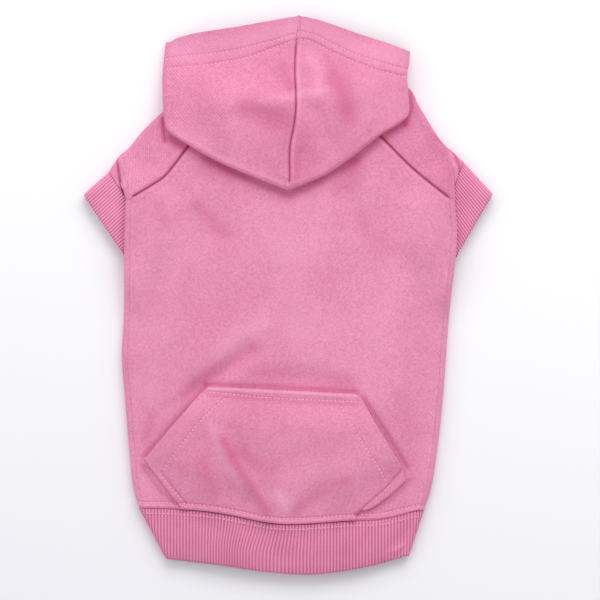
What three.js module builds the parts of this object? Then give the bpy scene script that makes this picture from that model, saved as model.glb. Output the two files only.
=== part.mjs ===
import * as THREE from 'three';

// A plain dog hoodie lying flat with its back up: X to the wearer's right, Y toward the hood, Z up.

// Sizes of the garment laid flat, in millimetres
const chestWidth = 238;
const backLength = 295.2;
const hemDepth = 37.4;
const cuffDepth = 24.5;
const hoodWidth = 175.7;
const hoodForward = 68.4;
const hoodBack = 56.9;
const hoodShift = 1.4;
const pocketWidth = 188;
const pocketLength = 95.8;
const pocketShift = -9.7;
const pocketTilt = 3.6;

// Heights above the surface that it lies on
const torsoHeight = 16;
const hemSeamHeight = 13;
const hemMouthHeight = 11.5;
const foldHeight = 9;
const foldReach = 4.5;
const swellReach = 36;
const drapeStart = 1;
const hoodPouch = 12.5;
const hoodEdgePouch = 8;
const hoodSlope = 45;
const pocketPouch = 6.5;

// Cloth and seams
const fleeceWall = 1.8;
const ribWall = 2.2;
const ribPitch = 2.3;
const cuffRibPitch = 2;
const ribHeight = 0.7;
const faceHemExtra = 1.2;
const seamGap = 0.4;
const layerGap = 0.5;
const hoodGap = 0.9;
const pocketGap = 0.9;
const tuckGap = 0.8;
// How far the hood's neck edge lies ahead of the body's, so that the two edges don't touch
const neckAhead = 0.7;

// Shares and ratios that shape the layers
const crownUntil = 0.75;
const hemCurveFrom = 0.5;
const bellyCurveEnds = 4;
const tuckCarry = 0.75;
const tuckSlope = 2.2;
const seamSlope = 1.5;
const drapeSlope = 2;
const roundShare = 0.45;
const faceBowPower = 3;
const pocketRise = 0.3;
const pocketMouthEnd = 0.55;
const pocketMouthFade = 0.15;
const pocketEdge = 0.22;

// The nape is the back of the neck seam. The middle of the whole length is at Y = 0.
const napeY = (backLength + hemDepth - hoodForward) / 2;

// Shares: out is of half the chest width, down of the back length from the nape.
const sideFold = {
  left: [
    { out: -0.98, down: 0.213 },
    { out: -0.989, down: 0.288 },
    { out: -0.989, down: 0.349 },
    { out: -0.992, down: 0.498 },
    { out: -1.004, down: 0.595 },
    { out: -0.986, down: 0.693 },
    { out: -0.962, down: 0.81 },
    { out: -0.938, down: 0.907 },
    { out: -0.901, down: 0.966 },
  ],
  right: [
    { out: 1.008, down: 0.213 },
    { out: 1.022, down: 0.288 },
    { out: 1.014, down: 0.349 },
    { out: 0.974, down: 0.498 },
    { out: 0.956, down: 0.595 },
    { out: 0.938, down: 0.693 },
    { out: 0.907, down: 0.81 },
    { out: 0.871, down: 0.907 },
    { out: 0.823, down: 0.971 },
  ],
};
const hemSeam = [
  { out: -0.901, down: 0.966 },
  { out: -0.665, down: 0.968 },
  { out: -0.417, down: 0.978 },
  { out: -0.121, down: 1.001 },
  { out: 0.06, down: 1.005 },
  { out: 0.387, down: 0.996 },
  { out: 0.563, down: 0.993 },
  { out: 0.75, down: 0.976 },
  { out: 0.823, down: 0.971 },
];
const raglan = {
  left: [
    { out: -0.442, down: 0.002 },
    { out: -0.599, down: 0.083 },
    { out: -0.724, down: 0.149 },
    { out: -0.802, down: 0.174 },
    { out: -0.942, down: 0.208 },
  ],
  right: [
    { out: 0.387, down: -0.015 },
    { out: 0.557, down: 0.059 },
    { out: 0.738, down: 0.133 },
    { out: 0.871, down: 0.178 },
    { out: 0.966, down: 0.208 },
  ],
};
const underRaglan = {
  left: [
    { out: -0.442, down: -0.034 },
    { out: -0.581, down: 0.073 },
    { out: -0.69, down: 0.166 },
    { out: -0.75, down: 0.229 },
    { out: -0.786, down: 0.278 },
  ],
  right: [
    { out: 0.387, down: -0.049 },
    { out: 0.532, down: 0.049 },
    { out: 0.67, down: 0.146 },
    { out: 0.77, down: 0.224 },
    { out: 0.83, down: 0.27 },
  ],
};
const shoulderFold = {
  left: [
    { out: -0.726, down: -0.01 },
    { out: -0.786, down: 0.01 },
    { out: -0.883, down: 0.049 },
    { out: -0.962, down: 0.088 },
    { out: -1.022, down: 0.109 },
    { out: -1.083, down: 0.146 },
  ],
  right: [
    { out: 0.702, down: -0.068 },
    { out: 0.75, down: -0.049 },
    { out: 0.799, down: -0.01 },
    { out: 0.92, down: 0.068 },
    { out: 1.047, down: 0.117 },
    { out: 1.089, down: 0.137 },
  ],
};
// The side seam runs under the body from the underarm to the hem.
const sideSeam = {
  left: [
    { out: -0.786, down: 0.278 },
    { out: -0.75, down: 0.42 },
    { out: -0.744, down: 0.96 },
  ],
  right: [
    { out: 0.83, down: 0.27 },
    { out: 0.75, down: 0.42 },
    { out: 0.7, down: 0.98 },
  ],
};
// Ends of the cuff seam: at the shoulder fold, and tucked under the body.
// The cuff's mouth slides toward the tucked end by a share of its depth.
const cuffSeam = {
  left: { top: { out: -1.083, down: 0.146 }, tucked: { out: -0.838, down: 0.293 }, slide: 0.14 },
  right: { top: { out: 1.089, down: 0.137 }, tucked: { out: 0.902, down: 0.283 }, slide: 0.34 },
};
// Where the sleeve's overhanging end meets the shoulder fold, as a share of that fold
const sleeveCrease = { left: { share: 0.78 }, right: { share: 0.735 } };
// Corners of the patch where the body rides up on the tucked cuff.
const tuck = {
  left: [
    { out: -1.04, down: 0.19 },
    { out: -0.93, down: 0.212 },
    { out: -0.84, down: 0.265 },
    { out: -0.84, down: 0.305 },
    { out: -0.95, down: 0.39 },
    { out: -1.1, down: 0.35 },
  ],
  right: [
    { out: 1.07, down: 0.185 },
    { out: 0.97, down: 0.208 },
    { out: 0.872, down: 0.252 },
    { out: 0.872, down: 0.3 },
    { out: 0.98, down: 0.39 },
    { out: 1.13, down: 0.35 },
  ],
};
// The band's mouth corners: inset of half the chest width from its seam corners, drop of its depth
const mouthCorner = {
  left: { inset: 0.163, drop: 0.96 },
  right: { inset: 0.091, drop: 0.847 },
};
// How far the band's lower edge sags below a straight line between its corners, of its depth
const mouthSag = [
  { across: 0, sag: 0 },
  { across: 0.21, sag: 0.133 },
  { across: 0.395, sag: 0.28 },
  { across: 0.6, sag: 0.355 },
  { across: 0.815, sag: 0.236 },
  { across: 1, sag: 0 },
];

// Shares: out is of half the hood's width, ahead of its reach before the nape or, below 0, behind it.
const hoodOutline = {
  left: [
    { out: -0.008, ahead: -1 },
    { out: -0.287, ahead: -0.835 },
    { out: -0.607, ahead: -0.62 },
    { out: -0.836, ahead: -0.418 },
    { out: -0.992, ahead: -0.253 },
    { out: -1.029, ahead: -0.1 },
    { out: -1.044, ahead: 0.211 },
    { out: -1.041, ahead: 0.432 },
    { out: -1.016, ahead: 0.73 },
  ],
  right: [
    { out: -0.008, ahead: -1 },
    { out: 0.279, ahead: -0.81 },
    { out: 0.492, ahead: -0.595 },
    { out: 0.738, ahead: -0.304 },
    { out: 0.918, ahead: -0.127 },
    { out: 0.975, ahead: 0.011 },
    { out: 0.959, ahead: 0.347 },
    { out: 0.975, ahead: 0.505 },
    { out: 0.984, ahead: 0.635 },
  ],
};
const crownSeam = [
  { out: -0.006, ahead: -0.88 },
  { out: 0, ahead: -0.709 },
  { out: 0.005, ahead: -0.418 },
  { out: 0.033, ahead: -0.127 },
  { out: 0.049, ahead: 0.168 },
  { out: 0.045, ahead: 0.495 },
  { out: 0.053, ahead: 0.8 },
  { out: 0.066, ahead: 1 },
];
// How much the face edge bows beyond a straight line from corner to peak, of the hood's reach.
const faceBow = 0.035;
// Shares of a hood half's rows that start on the back, and that turn round the end of the neck
const hoodShares = { backShare: 0.46, turnShare: 0.16 };
// Where the hood's edge leaves the shoulder, as a share of its outline from tip to corner
const hoodLeaves = { left: { share: 0.7 }, right: { share: 0.86 } };
// How far on from there the hood's edge is when its neck edge has turned round the end of the neck
const hoodTurn = 0.06;

// Shares: out is of half the pocket's width, down of its length from the top edge.
const pocketSide = {
  left: [
    { out: -0.53, down: 0 },
    { out: -0.58, down: 0.05 },
    { out: -1, down: 0.617 },
    { out: -0.716, down: 1 },
  ],
  right: [
    { out: 0.632, down: 0 },
    { out: 0.667, down: 0.04 },
    { out: 0.985, down: 0.61 },
    { out: 1, down: 0.71 },
    { out: 0.632, down: 1 },
  ],
};
// How much of the pouch's height its open sides keep
const pocketMouth = 0.75;

// Soft ridges (height above 0) and dents in the top layer: ends as body shares, width of the fold height.
const bodyFolds = [
  { fromOut: -0.62, fromDown: 0.7, toOut: -0.2, toDown: 0.57, width: 1.1, rise: -0.16 },
  { fromOut: -0.5, fromDown: 0.62, toOut: -0.05, toDown: 0.5, width: 1.2, rise: 0.12 },
  { fromOut: 0.02, fromDown: 0.3, toOut: 0.12, toDown: 0.6, width: 2.4, rise: 0.12 },
  { fromOut: 0.55, fromDown: 0.4, toOut: 0.62, toDown: 0.7, width: 2.2, rise: -0.1 },
];
const hoodFolds = [
  { fromOut: -0.35, fromDown: -0.06, toOut: -0.12, toDown: 0.1, width: 1.4, rise: -0.25 },
  { fromOut: 0.3, fromDown: -0.1, toOut: 0.16, toDown: 0.06, width: 1.4, rise: -0.25 },
  { fromOut: -0.28, fromDown: -0.05, toOut: 0.1, toDown: -0.04, width: 1, rise: 0.2 },
];

// Grid steps: more of them make a smoother piece.
const steps = {
  raglanRows: 10,
  bodyRows: 12,
  rowCrowding: 1.3,
  sleeveCrowding: 1.3,
  endCrowding: 0.7,
  bodyColumns: 16,
  bellyColumns: 10,
  arcColumns: 4,
  underColumns: 3,
  tuckRows: 2,
  sleeveColumns: 8,
  hoodRows: 13,
  hoodTop: 9,
  hoodUnder: 5,
  hoodOutline: 40,
  pocketRows: 10,
  pocketColumns: 14,
};

// Small helpers
const mix = (a, b, t) => a + (b - a) * t;
const clamp01 = (t) => Math.min(1, Math.max(0, t));
const ease = (t) => clamp01(t) ** 2 * (3 - 2 * clamp01(t));
const sides = ['left', 'right'];
const outward = { left: -1, right: 1 };

const bodyPoint = ({ out, down }) => new THREE.Vector2((out * chestWidth) / 2, napeY - down * backLength);
const bodyCurve = (rows) => new THREE.SplineCurve(rows.map(bodyPoint));

function hoodPoint({ out, ahead }) {
  const reach = ahead > 0 ? hoodForward : hoodBack;
  return new THREE.Vector2(hoodShift + (out * hoodWidth) / 2, napeY + ahead * reach);
}

// Value of a table's column at a place between its rows, along straight lines or a smooth curve
function valueAt(rows, key, column, at, isSmooth = true) {
  const found = rows.findIndex((row) => row[key] >= at);
  const upper = found < 0 ? rows.length - 1 : Math.max(1, found);
  const [a, b] = [rows[upper - 1], rows[upper]];
  const t = clamp01((at - a[key]) / (b[key] - a[key]));
  if (!isSmooth) return mix(a[column], b[column], t);
  const before = rows[Math.max(0, upper - 2)];
  const after = rows[Math.min(rows.length - 1, upper + 1)];
  const slope = (from, to) => ((to[column] - from[column]) / (to[key] - from[key])) * (b[key] - a[key]);
  const [start, end] = [slope(before, b), slope(a, after)];
  const bend = t * t * (3 - 2 * t);
  return mix(a[column], b[column], bend) + start * t * (1 - t) ** 2 - end * t * t * (1 - t);
}

function distanceToSegment(point, a, b) {
  const along = b.clone().sub(a);
  const t = clamp01(point.clone().sub(a).dot(along) / along.lengthSq());
  return point.distanceTo(a.clone().addScaledVector(along, t));
}

// Curves shared by the pieces that meet along them
const curves = {};
for (const side of sides) {
  curves[side] = {
    fold: bodyCurve(sideFold[side]),
    raglan: bodyCurve(raglan[side]),
    underRaglan: bodyCurve(underRaglan[side]),
    shoulder: bodyCurve(shoulderFold[side]),
    sideSeam: bodyCurve(sideSeam[side]),
    tuck: tuck[side].map(bodyPoint),
    edge: [...shoulderFold[side], ...sideFold[side]].map(bodyPoint),
  };
}

// Distance from a point to the outline of the body and sleeves on one side
function distanceToEdge(point, side) {
  const corners = curves[side].edge;
  const lengths = corners.slice(1).map((corner, i) => {
    const isSleeveEnd = i === shoulderFold[side].length - 1;
    return isSleeveEnd ? Infinity : distanceToSegment(point, corners[i], corner);
  });
  return Math.min(...lengths);
}

// How far the body rides up on the cuffs tucked under its sides
function tuckLift(point) {
  const lifts = sides.map((side) => {
    const corners = curves[side].tuck;
    const beyond = corners.map((corner, i) => {
      const edge = corners[(i + 1) % corners.length].clone().sub(corner).normalize();
      const normal = new THREE.Vector2(edge.y, -edge.x).multiplyScalar(outward[side]);
      return normal.dot(point.clone().sub(corner));
    });
    const outside = Math.max(0, ...beyond);
    return 1 - ease((outside - foldReach / 2) / (foldReach * tuckSlope));
  });
  return (foldHeight + tuckGap) * Math.max(...lifts);
}

function foldRise(point, folds) {
  return folds.reduce((sum, fold) => {
    const from = bodyPoint({ out: fold.fromOut, down: fold.fromDown });
    const to = bodyPoint({ out: fold.toOut, down: fold.toDown });
    const reach = distanceToSegment(point, from, to) / (fold.width * foldHeight);
    return sum + fold.rise * foldHeight * Math.exp(-reach * reach);
  }, 0);
}

// Outer face of the top layer and of the layer below, as heights over the plan
function topHeight(point) {
  const inland = Math.min(...sides.map((side) => distanceToEdge(point, side))) - foldReach;
  const down = (napeY - point.y) / backLength;
  const crown = mix(torsoHeight, hemSeamHeight, ease((down - crownUntil) / (1 - crownUntil)));
  const swell = ease(inland / swellReach);
  return mix(foldHeight, crown + foldRise(point, bodyFolds), swell) + tuckCarry * tuckLift(point);
}
const underHeight = (point) => tuckLift(point);

// Half an ellipse round a side fold, from the top layer to the layer below
function foldArc(edge, inner, topZ, underZ, count) {
  return Array.from({ length: count + 1 }, (_, i) => {
    const angle = (Math.PI * i) / count;
    const flat = inner.clone().lerp(edge, Math.sin(angle));
    const z = mix(underZ, topZ, 0.5 + 0.5 * Math.cos(angle));
    return new THREE.Vector3(flat.x, flat.y, z);
  });
}

const lift3 = (flat, z) => new THREE.Vector3(flat.x, flat.y, z);
const alongX = new THREE.Vector3(1, 0, 0);
const alongY = new THREE.Vector3(0, 1, 0);

// A row of points on the top layer, from one flat point to another
function topRow(from, to, count, height = topHeight, bend = () => 0) {
  return Array.from({ length: count + 1 }, (_, i) => {
    const flat = from.clone().lerp(to, i / count);
    flat.y += bend(i / count, flat);
    return lift3(flat, height(flat, i / count));
  });
}

// A closed sheet of cloth from a grid of points on its outer face.
// The wall goes inward along the normals, which at a seam stay in the seam's plane.
function clothSheet(grid, { wallAt = () => fleeceWall, hasCell = () => true, seamAxis = () => null }) {
  const rowCount = grid.length - 1;
  const columnCount = grid[0].length - 1;
  const isCell = (j, i) => j >= 0 && i >= 0 && j < rowCount && i < columnCount && hasCell(j, i);
  const normals = grid.map((row) => row.map(() => new THREE.Vector3()));
  const cells = [];
  for (let j = 0; j < rowCount; j += 1) {
    for (let i = 0; i < columnCount; i += 1) {
      if (isCell(j, i)) cells.push([j, i]);
    }
  }
  for (const [j, i] of cells) {
    const diagonal = grid[j + 1][i + 1].clone().sub(grid[j][i]);
    const other = grid[j][i + 1].clone().sub(grid[j + 1][i]);
    const normal = diagonal.cross(other);
    for (const [row, column] of [[j, i], [j, i + 1], [j + 1, i], [j + 1, i + 1]]) {
      normals[row][column].add(normal);
    }
  }
  const inside = grid.map((row, j) =>
    row.map((point, i) => {
      const axis = seamAxis(j, i);
      const normal = axis ? normals[j][i].projectOnPlane(axis) : normals[j][i];
      return point.clone().addScaledVector(normal.normalize(), -wallAt(j, i));
    }),
  );
  const corners = [];
  const quad = (a, b, c, d) => corners.push(a, b, c, a, c, d);
  for (const [j, i] of cells) {
    quad(grid[j][i], grid[j + 1][i], grid[j + 1][i + 1], grid[j][i + 1]);
    quad(inside[j][i], inside[j][i + 1], inside[j + 1][i + 1], inside[j + 1][i]);
    const rims = [
      { open: !isCell(j - 1, i), from: [j, i + 1], to: [j, i] },
      { open: !isCell(j + 1, i), from: [j + 1, i], to: [j + 1, i + 1] },
      { open: !isCell(j, i - 1), from: [j, i], to: [j + 1, i] },
      { open: !isCell(j, i + 1), from: [j + 1, i + 1], to: [j, i + 1] },
    ];
    for (const { open, from, to } of rims) {
      const [fromRow, fromColumn] = from;
      const [toRow, toColumn] = to;
      if (open) {
        quad(
          grid[toRow][toColumn],
          grid[fromRow][fromColumn],
          inside[fromRow][fromColumn],
          inside[toRow][toColumn],
        );
      }
    }
  }
  return new THREE.BufferGeometry().setFromPoints(corners);
}

// Columns for a length of ribbing, two to a rib and a whole number of groups for the inner face
const insideEvery = 4;
const ribColumns = (length, pitch) => insideEvery * Math.round(length / (2 * pitch));

// A closed tube of ribbing from rings of outer points and their normals. The inner face is coarser.
function ribTube(rings) {
  const count = rings[0].length;
  const ribbed = rings.map((ring) =>
    ring.map(({ point, normal }, i) => point.clone().addScaledVector(normal, i % 2 === 0 ? 0 : -ribHeight)),
  );
  const ends = [rings[0], rings[rings.length - 1]];
  const inner = ends.map((ring) =>
    ring
      .filter((_, i) => i % insideEvery === 0)
      .map(({ point, normal }) => point.clone().addScaledVector(normal, -ribWall)),
  );
  const innerCount = inner[0].length;
  const corners = [];
  for (let j = 0; j < ribbed.length - 1; j += 1) {
    for (let i = 0; i < count; i += 1) {
      const next = (i + 1) % count;
      corners.push(ribbed[j][i], ribbed[j + 1][i], ribbed[j + 1][next]);
      corners.push(ribbed[j][i], ribbed[j + 1][next], ribbed[j][next]);
    }
  }
  for (let i = 0; i < innerCount; i += 1) {
    const next = (i + 1) % innerCount;
    corners.push(inner[0][i], inner[0][next], inner[1][next], inner[0][i], inner[1][next], inner[1][i]);
  }
  const lastRing = ribbed[ribbed.length - 1];
  for (let i = 0; i < count; i += 1) {
    const next = (i + 1) % count;
    const from = Math.floor(i / insideEvery);
    const to = (from + 1) % innerCount;
    const middle = Math.floor(insideEvery / 2);
    const near = i % insideEvery < middle ? from : to;
    corners.push(ribbed[0][next], inner[0][near], ribbed[0][i]);
    corners.push(lastRing[i], inner[1][near], lastRing[next]);
    if (i % insideEvery === middle) {
      corners.push(ribbed[0][i], inner[0][to], inner[0][from]);
      corners.push(lastRing[i], inner[1][from], inner[1][to]);
    }
  }
  return new THREE.BufferGeometry().setFromPoints(corners);
}

const noBend = () => 0;

// A flattened ring with round ends: the top from one end to the other, an end, the underside, an end
function flatRing({ from, to, topZ, underZ, alongCount, endCount, bendTop = noBend, bendUnder = noBend }) {
  const axis = to.clone().sub(from).normalize();
  const start = from.clone().addScaledVector(axis, foldReach);
  const end = to.clone().addScaledVector(axis, -foldReach);
  const axis3 = lift3(axis, 0);
  const up = new THREE.Vector3(0, 0, 1);
  const ring = [];
  const straight = (first, last, height, bend, normal) => {
    for (let i = 0; i < alongCount; i += 1) {
      const flat = first.clone().lerp(last, i / alongCount);
      flat.y += bend(flat);
      ring.push({ point: lift3(flat, height(flat)), normal });
    }
  };
  const round = (centre, firstAngle) => {
    const topFlat = centre.clone();
    topFlat.y += bendTop(centre);
    const underFlat = centre.clone();
    underFlat.y += bendUnder(centre);
    const high = topZ(topFlat);
    const low = underZ(underFlat);
    for (let i = 0; i < endCount; i += 1) {
      const angle = firstAngle + (Math.PI * i) / endCount;
      const rise = 0.5 + 0.5 * Math.cos(angle);
      const normal = axis3.clone().multiplyScalar(Math.sin(angle)).addScaledVector(up, Math.cos(angle));
      const point = lift3(underFlat.clone().lerp(topFlat, rise), mix(low, high, rise));
      ring.push({ point: point.addScaledVector(axis3, Math.sin(angle) * foldReach), normal });
    }
  };
  straight(start, end, topZ, bendTop, up);
  round(end, 0);
  straight(end, start, underZ, bendUnder, up.clone().negate());
  round(start, Math.PI);
  return ring;
}

// Row points that the body and the sleeve share along the raglan seam and round the body's fold
function raglanPoints(side) {
  const { raglan: seam, fold } = curves[side];
  const points = [];
  for (let j = 0; j <= steps.raglanRows; j += 1) {
    const flat = seam.getPointAt(j / steps.raglanRows);
    points.push(lift3(flat, topHeight(flat)));
  }
  const edge = fold.getPoint(0);
  const inner = edge.clone();
  inner.x -= outward[side] * foldReach;
  const arc = foldArc(edge, inner, topHeight(inner), underHeight(inner) - layerGap, steps.arcColumns);
  return [...points, ...arc.slice(1)];
}

// Share of the side fold's length at a row of the body. The rows are closer together at the underarm.
const bodyShare = (k) => (k / steps.bodyRows) ** steps.rowCrowding;

// Under edge, fold and start of the top layer on one side of a body row, listed from the top inward
function bodyFlap(side, share) {
  const { fold, sideSeam: under } = curves[side];
  const edge = fold.getPointAt(share);
  const inner = edge.clone();
  inner.x -= outward[side] * foldReach;
  const arc = foldArc(edge, inner, topHeight(inner), underHeight(inner), steps.arcColumns);
  const seam = under.getPointAt(share);
  const last = seam.clone();
  last.x += (outward[side] * seamGap) / 2;
  const flap = [];
  for (let i = 1; i <= steps.underColumns; i += 1) {
    const flat = inner.clone().lerp(last, i / steps.underColumns);
    flap.push(lift3(flat, underHeight(flat)));
  }
  return [...arc, ...flap];
}

// How far the hem seam lies from a straight line between the side folds
function hemDip(x) {
  const out = (2 * x) / chestWidth;
  const first = hemSeam[0];
  const last = hemSeam[hemSeam.length - 1];
  const straight = mix(first.down, last.down, (out - first.out) / (last.out - first.out));
  return (straight - valueAt(hemSeam, 'out', 'down', out)) * backLength;
}

// How far a row of the body follows the hem seam's curve
const hemCurve = (share) => ease((share - hemCurveFrom) / (1 - hemCurveFrom));

function backGrid() {
  const grid = [];
  for (let j = 0; j <= steps.raglanRows; j += 1) {
    const [left, right] = sides.map((side) => {
      const flat = curves[side].raglan.getPointAt(j / steps.raglanRows);
      flat.x -= (outward[side] * seamGap) / 2;
      flat.y -= seamGap / 2;
      return flat;
    });
    const row = topRow(left, right, steps.bodyColumns);
    const flaps = sides.map((side) => bodyFlap(side, 0).slice(1));
    grid.push([...flaps[0].reverse(), ...row, ...flaps[1]]);
  }
  for (let k = 1; k <= steps.bodyRows; k += 1) {
    const share = bodyShare(k);
    const [left, right] = sides.map((side) => bodyFlap(side, share));
    const from = new THREE.Vector2(left[0].x, left[0].y);
    const to = new THREE.Vector2(right[0].x, right[0].y);
    const bend = (t, flat) => hemCurve(share) * hemDip(flat.x);
    const row = topRow(from, to, steps.bodyColumns, topHeight, bend);
    row[0] = left[0];
    row[row.length - 1] = right[0];
    grid.push([...left.slice(1).reverse(), ...row, ...right.slice(1)]);
  }
  return grid;
}

function backPanel() {
  const grid = backGrid();
  const flapCount = steps.arcColumns + steps.underColumns;
  const lastRow = grid.length - 1;
  const lastColumn = grid[0].length - 1;
  const inFlap = (i) => i < flapCount || i >= lastColumn - flapCount;
  return clothSheet(grid, {
    hasCell: (j, i) => j >= steps.raglanRows || !inFlap(i),
    seamAxis: (j, i) => {
      if (j === lastRow || j === 0) return alongY;
      return i === 0 || i === lastColumn ? alongX : null;
    },
  });
}

function bellyGrid() {
  const grid = [];
  const rowAt = (curveName, share, bendShare) => {
    const [left, right] = sides.map((side) => {
      const flat = curves[side][curveName].getPointAt(share);
      flat.x -= (outward[side] * seamGap) / 2;
      return flat;
    });
    const settle = (t) => ease(t * bellyCurveEnds) * ease((1 - t) * bellyCurveEnds);
    const bend = (t, flat) => bendShare * hemDip(flat.x) * settle(t);
    return topRow(right, left, steps.bellyColumns, underHeight, bend);
  };
  for (let j = 0; j < steps.raglanRows; j += 1) grid.push(rowAt('underRaglan', j / steps.raglanRows, 0));
  for (let k = 0; k <= steps.bodyRows; k += 1) {
    const share = bodyShare(k);
    grid.push(rowAt('sideSeam', share, hemCurve(share)));
  }
  return grid;
}

function bellyPanel() {
  const grid = bellyGrid();
  const isEnd = (i, items) => i === 0 || i === items.length - 1;
  const seamAxis = (j, i) => (isEnd(j, grid) ? alongY : isEnd(i, grid[0]) ? alongX : null);
  return clothSheet(grid, { seamAxis });
}

// A sleeve row runs from the raglan seam over the shoulder fold and back to the seam underneath. The rows
// between the fold of the body and the cuff are folded under, as the overhanging end of the sleeve.
function sleeve(side) {
  const { shoulder, underRaglan: under } = curves[side];
  const shared = raglanPoints(side);
  const lastShared = shared.length - 1;
  const rowCount = lastShared + steps.tuckRows;
  const { top, tucked } = cuffSeam[side];
  const ringTucked = bodyPoint(tucked);
  const arcBottom = new THREE.Vector2(shared[lastShared].x, shared[lastShared].y);
  const grid = [];
  for (let j = 0; j <= rowCount; j += 1) {
    const isOnBody = j <= steps.raglanRows;
    const isArc = !isOnBody && j <= lastShared;
    const closing = Math.max(0, (j - lastShared) / steps.tuckRows);
    const closingZ = mix(shared[lastShared].z, foldHeight / 2, closing);
    const closingPoint = lift3(arcBottom.clone().lerp(ringTucked, closing), closingZ);
    const start = j <= lastShared ? shared[j].clone() : closingPoint;
    if (closing < 1) start.x += (outward[side] * seamGap) / 2;
    if (closing < 1) start.y += isOnBody ? seamGap / 2 : seamGap;
    const flatStart = new THREE.Vector2(start.x, start.y);
    const crease = sleeveCrease[side].share;
    const pastBody = clamp01((j - steps.raglanRows) / (rowCount - steps.raglanRows)) ** steps.endCrowding;
    const share = isOnBody ? (crease * j) / steps.raglanRows : mix(crease, 1, pastBody);
    const edge = shoulder.getPointAt(share);
    const inner = edge.clone().addScaledVector(flatStart.clone().sub(edge).normalize(), foldReach);
    const base = (flat) => (isOnBody ? topHeight(flat) : foldHeight);
    const offset = start.z - base(flatStart);
    const chord = flatStart.distanceTo(inner);
    const settleLength = isArc ? chord : seamSlope * foldReach;
    const topPart = Array.from({ length: steps.sleeveColumns + 1 }, (_, i) => {
      const along = (i / steps.sleeveColumns) ** steps.sleeveCrowding;
      const flat = flatStart.clone().lerp(inner, along);
      return lift3(flat, base(flat) + offset * (1 - ease((along * chord) / settleLength)));
    });
    const arc = foldArc(edge, inner, topPart[steps.sleeveColumns].z, 0, steps.arcColumns);
    const onBelly = under.getPointAt(Math.min(1, j / lastShared));
    const underFlap = j < lastShared ? 0 : fleeceWall + layerGap;
    const seamZ = mix(Math.max(0, underHeight(onBelly) - underFlap), foldHeight / 2 - seamGap, closing);
    const seamPoint = onBelly.lerp(ringTucked, closing);
    if (closing < 1) seamPoint.x += (outward[side] * seamGap) / 2;
    const underPart = Array.from({ length: steps.sleeveColumns }, (_, i) => {
      const along = 1 - (1 - (i + 1) / steps.sleeveColumns) ** steps.sleeveCrowding;
      const flat = inner.clone().lerp(seamPoint, along);
      return lift3(flat, seamZ * (1 - ease(flat.distanceTo(seamPoint) / (seamSlope * foldReach))));
    });
    const row = [...topPart, ...arc.slice(1), ...underPart];
    grid.push(side === 'left' ? row.reverse() : row);
  }
  const ringAxis = bodyPoint(top).sub(ringTucked);
  const cuffAxis = new THREE.Vector3(ringAxis.y, -ringAxis.x, 0).normalize();
  const seamAxis = (j) => (j === rowCount ? cuffAxis : j === 0 ? alongY : null);
  return clothSheet(grid, { seamAxis });
}

function cuff(side) {
  const { top, tucked, slide } = cuffSeam[side];
  const seamTop = bodyPoint(top);
  const seamTucked = bodyPoint(tucked);
  const axis = seamTucked.clone().sub(seamTop).normalize();
  const out = new THREE.Vector2(axis.y, -axis.x).multiplyScalar(-outward[side]);
  const rings = [0, 1].map((share) => {
    const depth = mix(seamGap, cuffDepth, share);
    const shift = out.clone().multiplyScalar(depth).addScaledVector(axis, share * slide * cuffDepth);
    const ends = [seamTop.clone().add(shift), seamTucked.clone().add(shift)];
    const [from, to] = side === 'left' ? ends : ends.reverse();
    return flatRing({
      from,
      to,
      topZ: () => foldHeight,
      underZ: () => 0,
      alongCount: ribColumns(seamTop.distanceTo(seamTucked) - 2 * foldReach, cuffRibPitch),
      endCount: ribColumns(Math.PI * foldReach, cuffRibPitch),
    });
  });
  return ribTube(rings);
}

// Height and place of the body's lower edge at x, on its top layer and underneath
function edgeSampler(row) {
  const sorted = [...row].sort((a, b) => a.x - b.x);
  return (x) => {
    const found = sorted.findIndex((point) => point.x >= x);
    const upper = found < 1 ? (found === 0 ? 1 : sorted.length - 1) : found;
    const a = sorted[upper - 1];
    const b = sorted[upper];
    return a.clone().lerp(b, clamp01((x - a.x) / (b.x - a.x)));
  };
}

function hemBand() {
  const back = backGrid();
  const lastBack = back[back.length - 1];
  const flapCount = steps.arcColumns + steps.underColumns;
  const topEdge = edgeSampler(lastBack.slice(flapCount, lastBack.length - flapCount));
  const belly = bellyGrid();
  const underEdge = edgeSampler([
    ...lastBack.slice(0, steps.underColumns + 1),
    ...belly[belly.length - 1],
    ...lastBack.slice(-steps.underColumns - 1),
  ]);
  const seamEnds = sides.map((side) => curves[side].fold.getPoint(1));
  const counts = {
    alongCount: ribColumns(seamEnds[0].distanceTo(seamEnds[1]) - 2 * foldReach, ribPitch),
    endCount: ribColumns(Math.PI * foldReach, ribPitch),
  };
  const atSeam = flatRing({
    from: seamEnds[0],
    to: seamEnds[1],
    topZ: (flat) => topEdge(flat.x).z,
    underZ: () => 0,
    bendTop: (flat) => topEdge(flat.x).y - seamGap - flat.y,
    bendUnder: (flat) => underEdge(flat.x).y - seamGap - flat.y,
    ...counts,
  });
  const mouthEnds = sides.map((side, i) => {
    const { inset, drop } = mouthCorner[side];
    const corner = seamEnds[i].clone();
    corner.x -= (outward[side] * inset * chestWidth) / 2;
    corner.y -= drop * hemDepth;
    return corner;
  });
  const mouthWidth = mouthEnds[1].x - mouthEnds[0].x;
  const acrossMouth = (flat) => (flat.x - mouthEnds[0].x) / mouthWidth;
  const sag = (flat) => -hemDepth * valueAt(mouthSag, 'across', 'sag', acrossMouth(flat));
  const atMouth = flatRing({
    from: mouthEnds[0],
    to: mouthEnds[1],
    topZ: (flat) => {
      const inland = Math.min(flat.x - mouthEnds[0].x, mouthEnds[1].x - flat.x) - foldReach;
      return mix(foldHeight, hemMouthHeight, ease(inland / swellReach));
    },
    underZ: () => 0,
    bendTop: sag,
    bendUnder: sag,
    ...counts,
  });
  return ribTube([atSeam, atMouth]);
}

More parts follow.
